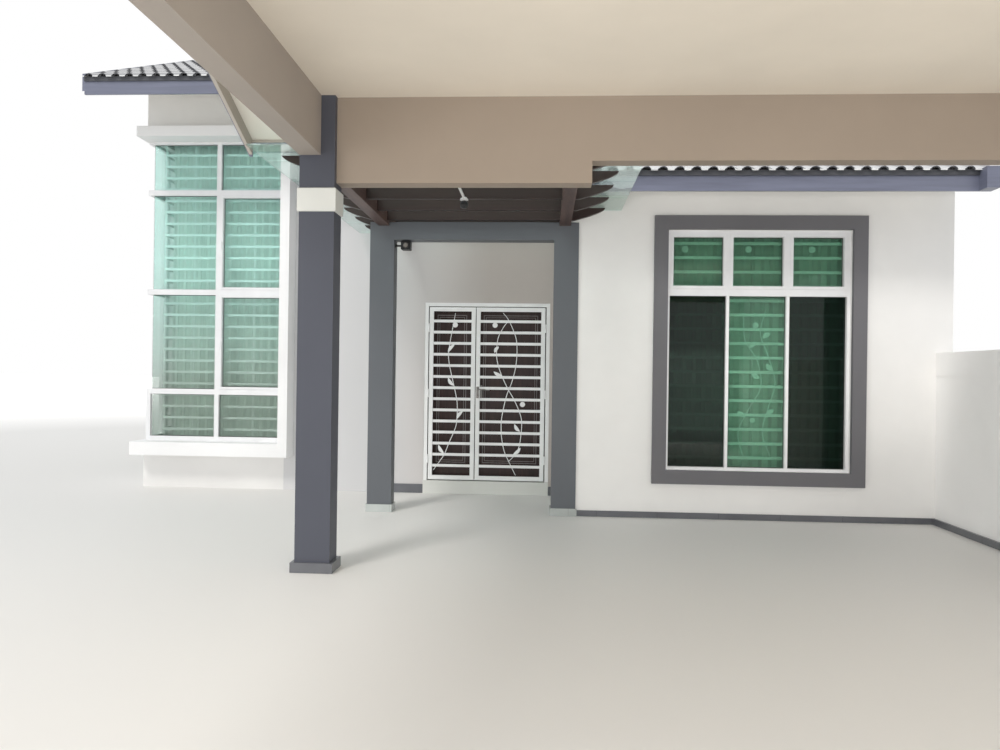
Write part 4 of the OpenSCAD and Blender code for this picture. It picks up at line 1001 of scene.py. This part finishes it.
# the door's wrought vines, in the plane of each grille leaf; bars is the front of the flat bars
grilleVine = {
    "bars": 0.017, "rodR": 0.005, "bossR": 0.031,
    "leftRods": [[(-0.305, 2.12), (-0.33, 1.98), (-0.378, 1.69), (-0.376, 1.553), (-0.345, 1.4),
                  (-0.296, 1.194), (-0.271, 1.05), (-0.276, 0.83), (-0.312, 0.71), (-0.36, 0.6),
                  (-0.412, 0.465), (-0.473, 0.37), (-0.545, 0.27)]],
    "leftBosses": [(-0.306, 1.98)],
    "leftLeaves": [(-0.388, 1.656, 0.077, 0.094), (-0.312, 1.264, -0.072, 0.095),
                   (-0.275, 0.875, 0.071, 0.091), (-0.42, 0.467, -0.068, 0.101)],
    "rightRods": [[(0.254, 2.128), (0.323, 2.039), (0.405, 1.85), (0.424, 1.697), (0.412, 1.503),
                   (0.37, 1.323), (0.305, 1.143), (0.256, 0.904), (0.25, 0.769), (0.259, 0.65),
                   (0.291, 0.501), (0.353, 0.368), (0.425, 0.225)],
                  [(0.323, 2.039), (0.257, 1.949), (0.2, 1.829), (0.185, 1.679), (0.19, 1.58), (0.222, 1.46),
                   (0.28, 1.322), (0.334, 1.218), (0.392, 1.12), (0.455, 0.985), (0.489, 0.86), (0.483, 0.699),
                   (0.462, 0.56), (0.415, 0.465), (0.338, 0.383)]],
    "rightBosses": [(0.163, 1.981), (0.496, 1.057)],
    "rightLeaves": [(0.159, 1.657, 0.051, 0.075), (0.253, 1.392, -0.101, 0.046),
                    (0.471, 0.738, -0.067, 0.088), (0.48, 0.55, -0.086, -0.079)],
    "leafW": 0.04,
}
v = grilleVine
for side in ("left", "right"):
    leaves = [(x, z, dx, dz, v["leafW"]) for x, z, dx, dz in v[side + "Leaves"]]
    bosses = [(x, z, v["bossR"]) for x, z in v[side + "Bosses"]]
    vine = makePiece(side + "GrilleVine", vineShapes(v[side + "Rods"], bosses, leaves, v["bars"], v["rodR"]),
                     steelWhite, side + "_grille")

# lock of the grille, on the right leaf: a plate, a lever on its rose, and under it a keyhole in its own
lockShape = {
    "place": (-0.0321, 0.0, 1.19), "apart": 0.035, "reach": 0.095,
    "roseRows": [(0, 0.017), (0.004, 0.017), (0.006, 0.014), (0.007, 0.01)],
    "keyRows": [(0, 0.013), (0.004, 0.013), (0.006, 0.009), (0.01, 0.0085), (0.011, 0.007)],
}
x, y, z = lockShape["place"]
up, low = z + lockShape["apart"], z - lockShape["apart"]
leverPath = smoothPath([(x, y + 0.002, up), (x, y - 0.03, up), (x + 0.018, y - 0.042, up),
                        (x + lockShape["reach"], y - 0.04, z + 0.033)], 6)
lever = tube(leverPath, np.linspace(0.0085, 0.0065, len(leverPath)), 12, side=(0, 0, 1))
makePiece("grilleLock", [
    boxesOf([((x - 0.016, y - 0.0015, z - 0.068), (x + 0.016, y + 0.0005, z + 0.068))], 0.001),
    turned((x, y + 0.001, up), (0, -1, 0), lockShape["roseRows"]),
    turned((x, y + 0.001, low), (0, -1, 0), lockShape["keyRows"]), lever], lockSteel, "right_grille")
keyhole = boxesOf([((x - 0.0015, y - 0.0105, z - 0.04), (x + 0.0015, y - 0.0095, z - 0.03))], 0.0003)
makePiece("grilleKeyhole", [keyhole], rubberBlack, "right_grille")


# a half-round moulding carried round a rectangle on a face that looks to -Y: offset w cos(a), height p sin(a)
def moulding(x0, x1, z0, z1, face, width, proud):
    a = np.linspace(0, math.pi, 7)
    offset, rise = -width / 2 * np.cos(a), proud * np.sin(a)
    corners = np.array([[x0, z0, -1, -1], [x1, z0, 1, -1], [x1, z1, 1, 1], [x0, z1, -1, 1]], float)
    grid = np.empty((4, len(a), 3))
    grid[..., 0] = corners[:, :1] + corners[:, 2:3] * offset
    grid[..., 2] = corners[:, 1:2] + corners[:, 3:4] * offset
    grid[..., 1] = face - rise
    return grid.reshape(-1, 3), wrappedFaces(4, len(a))


timberShape = {"face": 0.11, "wide": 0.01, "proud": 0.004, "double": 0.024,
               "left": (-0.525, -0.182, 0.355, 2.1), "right": (0.026, 0.66, 0.355, 2.1)}
t = timberShape
for side in ("left", "right"):
    x0, x1, z0, z1 = t[side]
    e = t["double"]
    panels = [moulding(x0, x1, z0, z1, t["face"], t["wide"], t["proud"]),
              moulding(x0 + e, x1 - e, z0 + e, z1 - e, t["face"], t["wide"] * 0.7, t["proud"] * 0.8)]
    makePiece(side + "DoorMouldings", panels, doorTrimHighlight, side + "_timber_door")
knob = {"x": -0.006, "z": 1.19, "up": 0.03, "reach": 0.11}
x, y, z = knob["x"], t["face"], knob["z"]
plate = boxesOf([((x - 0.02, y - 0.0025, z - 0.085), (x + 0.02, y, z + 0.085))], 0.0012)
handlePath = smoothPath([(x, y, z + knob["up"]), (x, y - 0.026, z + knob["up"]),
                         (x + 0.016, y - 0.036, z + knob["up"]), (x + knob["reach"], y - 0.034, z + 0.028)], 6)
keyRose = turned((x, y - 0.002, z - 0.04), (0, -1, 0), [(0, 0.009), (0.003, 0.009), (0.004, 0.006)], 16)
makePiece("doorHandle", [plate, tube(handlePath, 0.008, 12, side=(0, 0, 1)), keyRose],
          lockSteel, "right_timber_door")
print("doors dressed")

# a white arm lamp behind the porch's rear beam, and a black spot on the portal's left column
lampShape = {
    "arm": (0.095, -2.962, 2.788), "armR": 0.0105, "headR": 0.0335, "headDown": 0.052,
    "roseRows": [(0, 0.0195), (0.006, 0.0195), (0.011, 0.017), (0.014, 0.013)],
    "capRows": [(0.0, 0.012), (0.003, 0.018), (0.01, 0.026), (0.02, 0.0325), (0.027, 0.0335), (0.028, 0.03)],
    "spot": (-0.7275, -0.6275, -1.265, -1.145, 2.659, 2.749), "post": -0.7875,
    "ringRows": [(0, 0.034), (0.011, 0.034), (0.012, 0.032), (0.012, 0.028), (0.004, 0.026)],
    "lensRows": [(0, 0.026), (0.002, 0.022), (0.004, 0.012), (0.0045, 0.003)],
}
p = lampShape
x, y, z = p["arm"]
wall = house["yPorch"]
armPath = smoothPath([(x, wall + 0.004, z + 0.001), (x, wall + 0.15, z), (x, y - 0.06, z),
                      (x, y, z - 0.012)], 6)
armLamp = makePiece("armLamp", [
    turned((x, wall, z - 0.003), (0, 1, 0), p["roseRows"]),
    tube(armPath, p["armR"], 14, side=(1, 0, 0)),
    turned((x, y, z + 0.01), (0, 0, -1), p["capRows"], 28)], lampWhite)
ball = np.linspace(0.35, math.pi - 0.02, 13)
headRows = [(p["headDown"] - p["headR"] * math.cos(a), p["headR"] * 0.985 * math.sin(a)) for a in ball]
armHead = makePiece("armLampHead", [turned((x, y, z), (0, 0, -1), headRows, 28)], lampBlack)
x0, x1, y0, y1, z0, z1 = p["spot"]
xMid, yMid, zMid, post = (x0 + x1) / 2, (y0 + y1) / 2, (z0 + z1) / 2, p["post"]
fins = [((x0 + 0.006, fin, z0 + 0.004), (x1 - 0.006, fin + 0.004, z1 - 0.001))
        for fin in np.linspace(yMid + 0.012, y1 - 0.004, 5)]
spot = makePiece("portalSpot", [
    boxesOf([((x0, y0 + 0.01, z0), (x1, yMid + 0.01, z1))], 0.008),
    boxesOf([((x0 + 0.012, yMid + 0.008, z0 + 0.01), (x1 - 0.012, y1 - 0.004, z1 - 0.01))], 0.004),
    boxesOf(fins, 0.001),
    turned((xMid, y0 + 0.012, zMid), (0, -1, 0), p["ringRows"], 28),
    boxesOf([((post, yMid - 0.02, zMid - 0.022), (post + 0.005, yMid + 0.02, zMid + 0.022))], 0.0015),
    tube([(post + 0.003, yMid, zMid), (x0 + 0.004, yMid, zMid)], 0.009, 14, side=(0, 0, 1))], lampBlack)
lensShell = turned((xMid, y0 + 0.009, zMid), (0, -1, 0), p["lensRows"], 28)
lens = makePiece("portalSpotLens", [lensShell], lensGlass)
for piece in (armLamp, armHead, spot, lens):
    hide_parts("lamps")
print("lamps hung")

# the finish of each node of the solids
cadFinish = [
    (whitePlaster, "front_wall foyer_side_wall bay_wall left_wall rear_wall cross_wall party_wall"),
    (foyerShadePlaster, "entrance_wall entrance_wall_head"), (bandPaint, "door_threshold column_collars"),
    (roofTile, "high_roof_front high_roof_rear low_roof_front low_roof_rear porch_roof_front porch_roof_rear"),
    (roofTile, "ridge_tiles"), (fasciaPaint, "fascia_boards barge_boards"), (floorScreed, "floor_slab"),
    (bayPlaster, "bay_surround"), (surroundPlaster, "window_surrounds"),
    (frameWhite, "window_frames curtain_rails"), (windowGlass, "window_glass"), (curtainPale, "curtains"),
    (steelWhite, "grille_frame grille_leaf_left grille_leaf_right"),
    (doorWood, "timber_frame timber_leaf_left timber_leaf_right"), (columnPlaster, "porch_columns"),
    (taupePlaster, "porch_cross_beams"), (sideTaupePlaster, "porch_side_beams"),
    (ceilingPaint, "porch_ceiling"), (skirtTile, "skirtings"), (portalPlaster, "entrance_portal"),
    (paleTile, "portal_plinths"), (rafterWood, "pergola_rafters"), (purlinWood, "pergola_purlins"),
    (canopyGlass, "pergola_glass"), (boundaryPlaster, "boundary_wall"), (lampBlack, "lamps"),
]
finished = [(nodeName, finish) for finish, names in cadFinish for nodeName in names.split()]
for nodeName, finish in finished:
    data = nodes[nodeName].data
    data.materials.clear()
    data.materials.append(finish)
print("finishes on", len(finished), "nodes")

cameraPlace = {"x": 0.74, "y": -9.0, "z": 1.4, "turnDeg": -3.25, "pitchDeg": -0.01, "rollDeg": -0.785,
               "focalPixels": 770.0, "widthPixels": 1000.0, "sensorMm": 36.0}


# world to camera by turn, pitch and roll, as rows right, down and forward
def makeCamera(place):
    cy, sy = math.cos(math.radians(place["turnDeg"])), math.sin(math.radians(place["turnDeg"]))
    cp, sp = math.cos(math.radians(place["pitchDeg"])), math.sin(math.radians(place["pitchDeg"]))
    cr, sr = math.cos(math.radians(place["rollDeg"])), math.sin(math.radians(place["rollDeg"]))
    turn = np.array([[cy, -sy, 0], [sy, cy, 0], [0, 0, 1]])
    base = np.array([[1, 0, 0], [0, 0, -1], [0, 1, 0]])
    pitch = np.array([[1, 0, 0], [0, cp, sp], [0, -sp, cp]])
    roll = np.array([[cr, sr, 0], [-sr, cr, 0], [0, 0, 1]])
    rows = roll @ pitch @ base @ turn
    data = bpy.data.cameras.new("camera")
    data.sensor_width = place["sensorMm"]
    data.lens = place["focalPixels"] / place["widthPixels"] * place["sensorMm"]
    data.clip_start, data.clip_end = 0.05, 400.0
    camera = bpy.data.objects.new("camera", data)
    bpy.context.scene.collection.objects.link(camera)
    m = Matrix.Identity(4)
    for i in range(3):
        m[i][0], m[i][1], m[i][2] = rows[0][i], -rows[1][i], -rows[2][i]
    m[0][3], m[1][3], m[2][3] = place["x"], place["y"], place["z"]
    camera.matrix_world = m
    bpy.context.scene.camera = camera


makeCamera(cameraPlace)

lightLook = {"sky": (0.94, 0.97, 1.0), "skyStrength": 0.72, "sun": (1.0, 0.97, 0.93), "sunStrength": 1.22,
             "sunAngleDeg": 14.0, "sunTiltDeg": 42.0, "sunAroundDeg": -28.0, "floor": (0.8, 0.79, 0.77),
             "fillPlace": (1.8, -10.4, 1.1), "fillSize": (6.0, 1.8), "fillWatts": 195.0, "fillLiftDeg": 8.0,
             "fill": (1.0, 0.985, 0.95), "sidePlace": (-6.0, -7.8, 1.6), "sideSize": (3.6, 2.4),
             "sideWatts": 110.0, "fadeFrom": 13.0, "fadeOver": 26.0}


def softPanel(name, place, size, watts, turnDeg):  # a panel of light that the camera and gloss don't see
    panel = bpy.data.lights.new(name, "AREA")
    panel.shape = "RECTANGLE"
    panel.size, panel.size_y = size
    panel.energy = watts
    panel.color = lightLook["fill"]
    lamp = bpy.data.objects.new(name, panel)
    lamp.location = place
    lamp.rotation_euler = [math.radians(a) for a in turnDeg]
    lamp.visible_glossy = False
    lamp.visible_camera = False
    bpy.context.scene.collection.objects.link(lamp)


# an even sky and a soft sun; what the camera, gloss and glass see of the world is plain white
def makeLight(look):
    scene = bpy.context.scene
    scene.view_settings.view_transform = "Standard"
    world = bpy.data.worlds.new("studio")
    scene.world = world
    world.use_nodes = True
    world.node_tree.nodes.clear()
    out = addNode(world, "ShaderNodeOutputWorld")
    soft = addNode(world, "ShaderNodeBackground")
    soft.inputs["Color"].default_value = (*look["sky"], 1)
    soft.inputs["Strength"].default_value = look["skyStrength"]
    white = addNode(world, "ShaderNodeBackground")
    white.inputs["Color"].default_value = (1, 1, 1, 1)
    white.inputs["Strength"].default_value = 1.0
    path = addNode(world, "ShaderNodeLightPath")
    either = mathNode(world, "MAXIMUM", path.outputs["Is Camera Ray"], path.outputs["Is Glossy Ray"])
    seen = mathNode(world, "MAXIMUM", either, path.outputs["Is Transmission Ray"])
    mix = addNode(world, "ShaderNodeMixShader")
    for socket, source in zip(mix.inputs, (seen, soft.outputs[0], white.outputs[0])):
        link(world, source, socket)
    link(world, mix.outputs[0], out.inputs[0])
    sun = bpy.data.lights.new("sun", "SUN")
    sun.energy = look["sunStrength"]
    sun.angle = math.radians(look["sunAngleDeg"])
    sun.color = look["sun"]
    lamp = bpy.data.objects.new("sun", sun)
    lamp.rotation_euler = (math.radians(look["sunTiltDeg"]), 0, math.radians(look["sunAroundDeg"]))
    scene.collection.objects.link(lamp)
    softPanel("fill", look["fillPlace"], look["fillSize"], look["fillWatts"], (90 + look["fillLiftDeg"], 0, 0))
    softPanel("side", look["sidePlace"], look["sideSize"], look["sideWatts"], (90, 0, -90))


makeLight(lightLook)


# wide and pale, just under the ground level; far off it fades to white for the camera, where
# (distance - fadeFrom) / fadeOver rises from 0 to 1
def makeFloor(look):
    size, ground = 150.0, -0.001
    corners = [(x * size, y * size, ground) for x, y in ((-1, -1), (1, -1), (1, 1), (-1, 1))]
    mesh = bpy.data.meshes.new("studioFloor")
    mesh.from_pydata(corners, [], [(0, 1, 2, 3)])
    floor = bpy.data.objects.new("studioFloor", mesh)
    bpy.context.scene.collection.objects.link(floor)
    mat, shader = newMaterial("studioFloor", look["floor"], 0.6)
    away = addNode(mat, "ShaderNodeVectorMath", operation="LENGTH")
    link(mat, coords(mat), away.inputs[0])
    fade = progress(mat, away.outputs["Value"], look["fadeFrom"], look["fadeOver"])
    path = addNode(mat, "ShaderNodeLightPath")
    shader.inputs["Emission Color"].default_value = (1, 1, 1, 1)
    glow = mathNode(mat, "MULTIPLY", fade, path.outputs["Is Camera Ray"])
    link(mat, glow, shader.inputs["Emission Strength"])
    mesh.materials.append(mat)


makeFloor(lightLook)
print("camera, light and floor made")
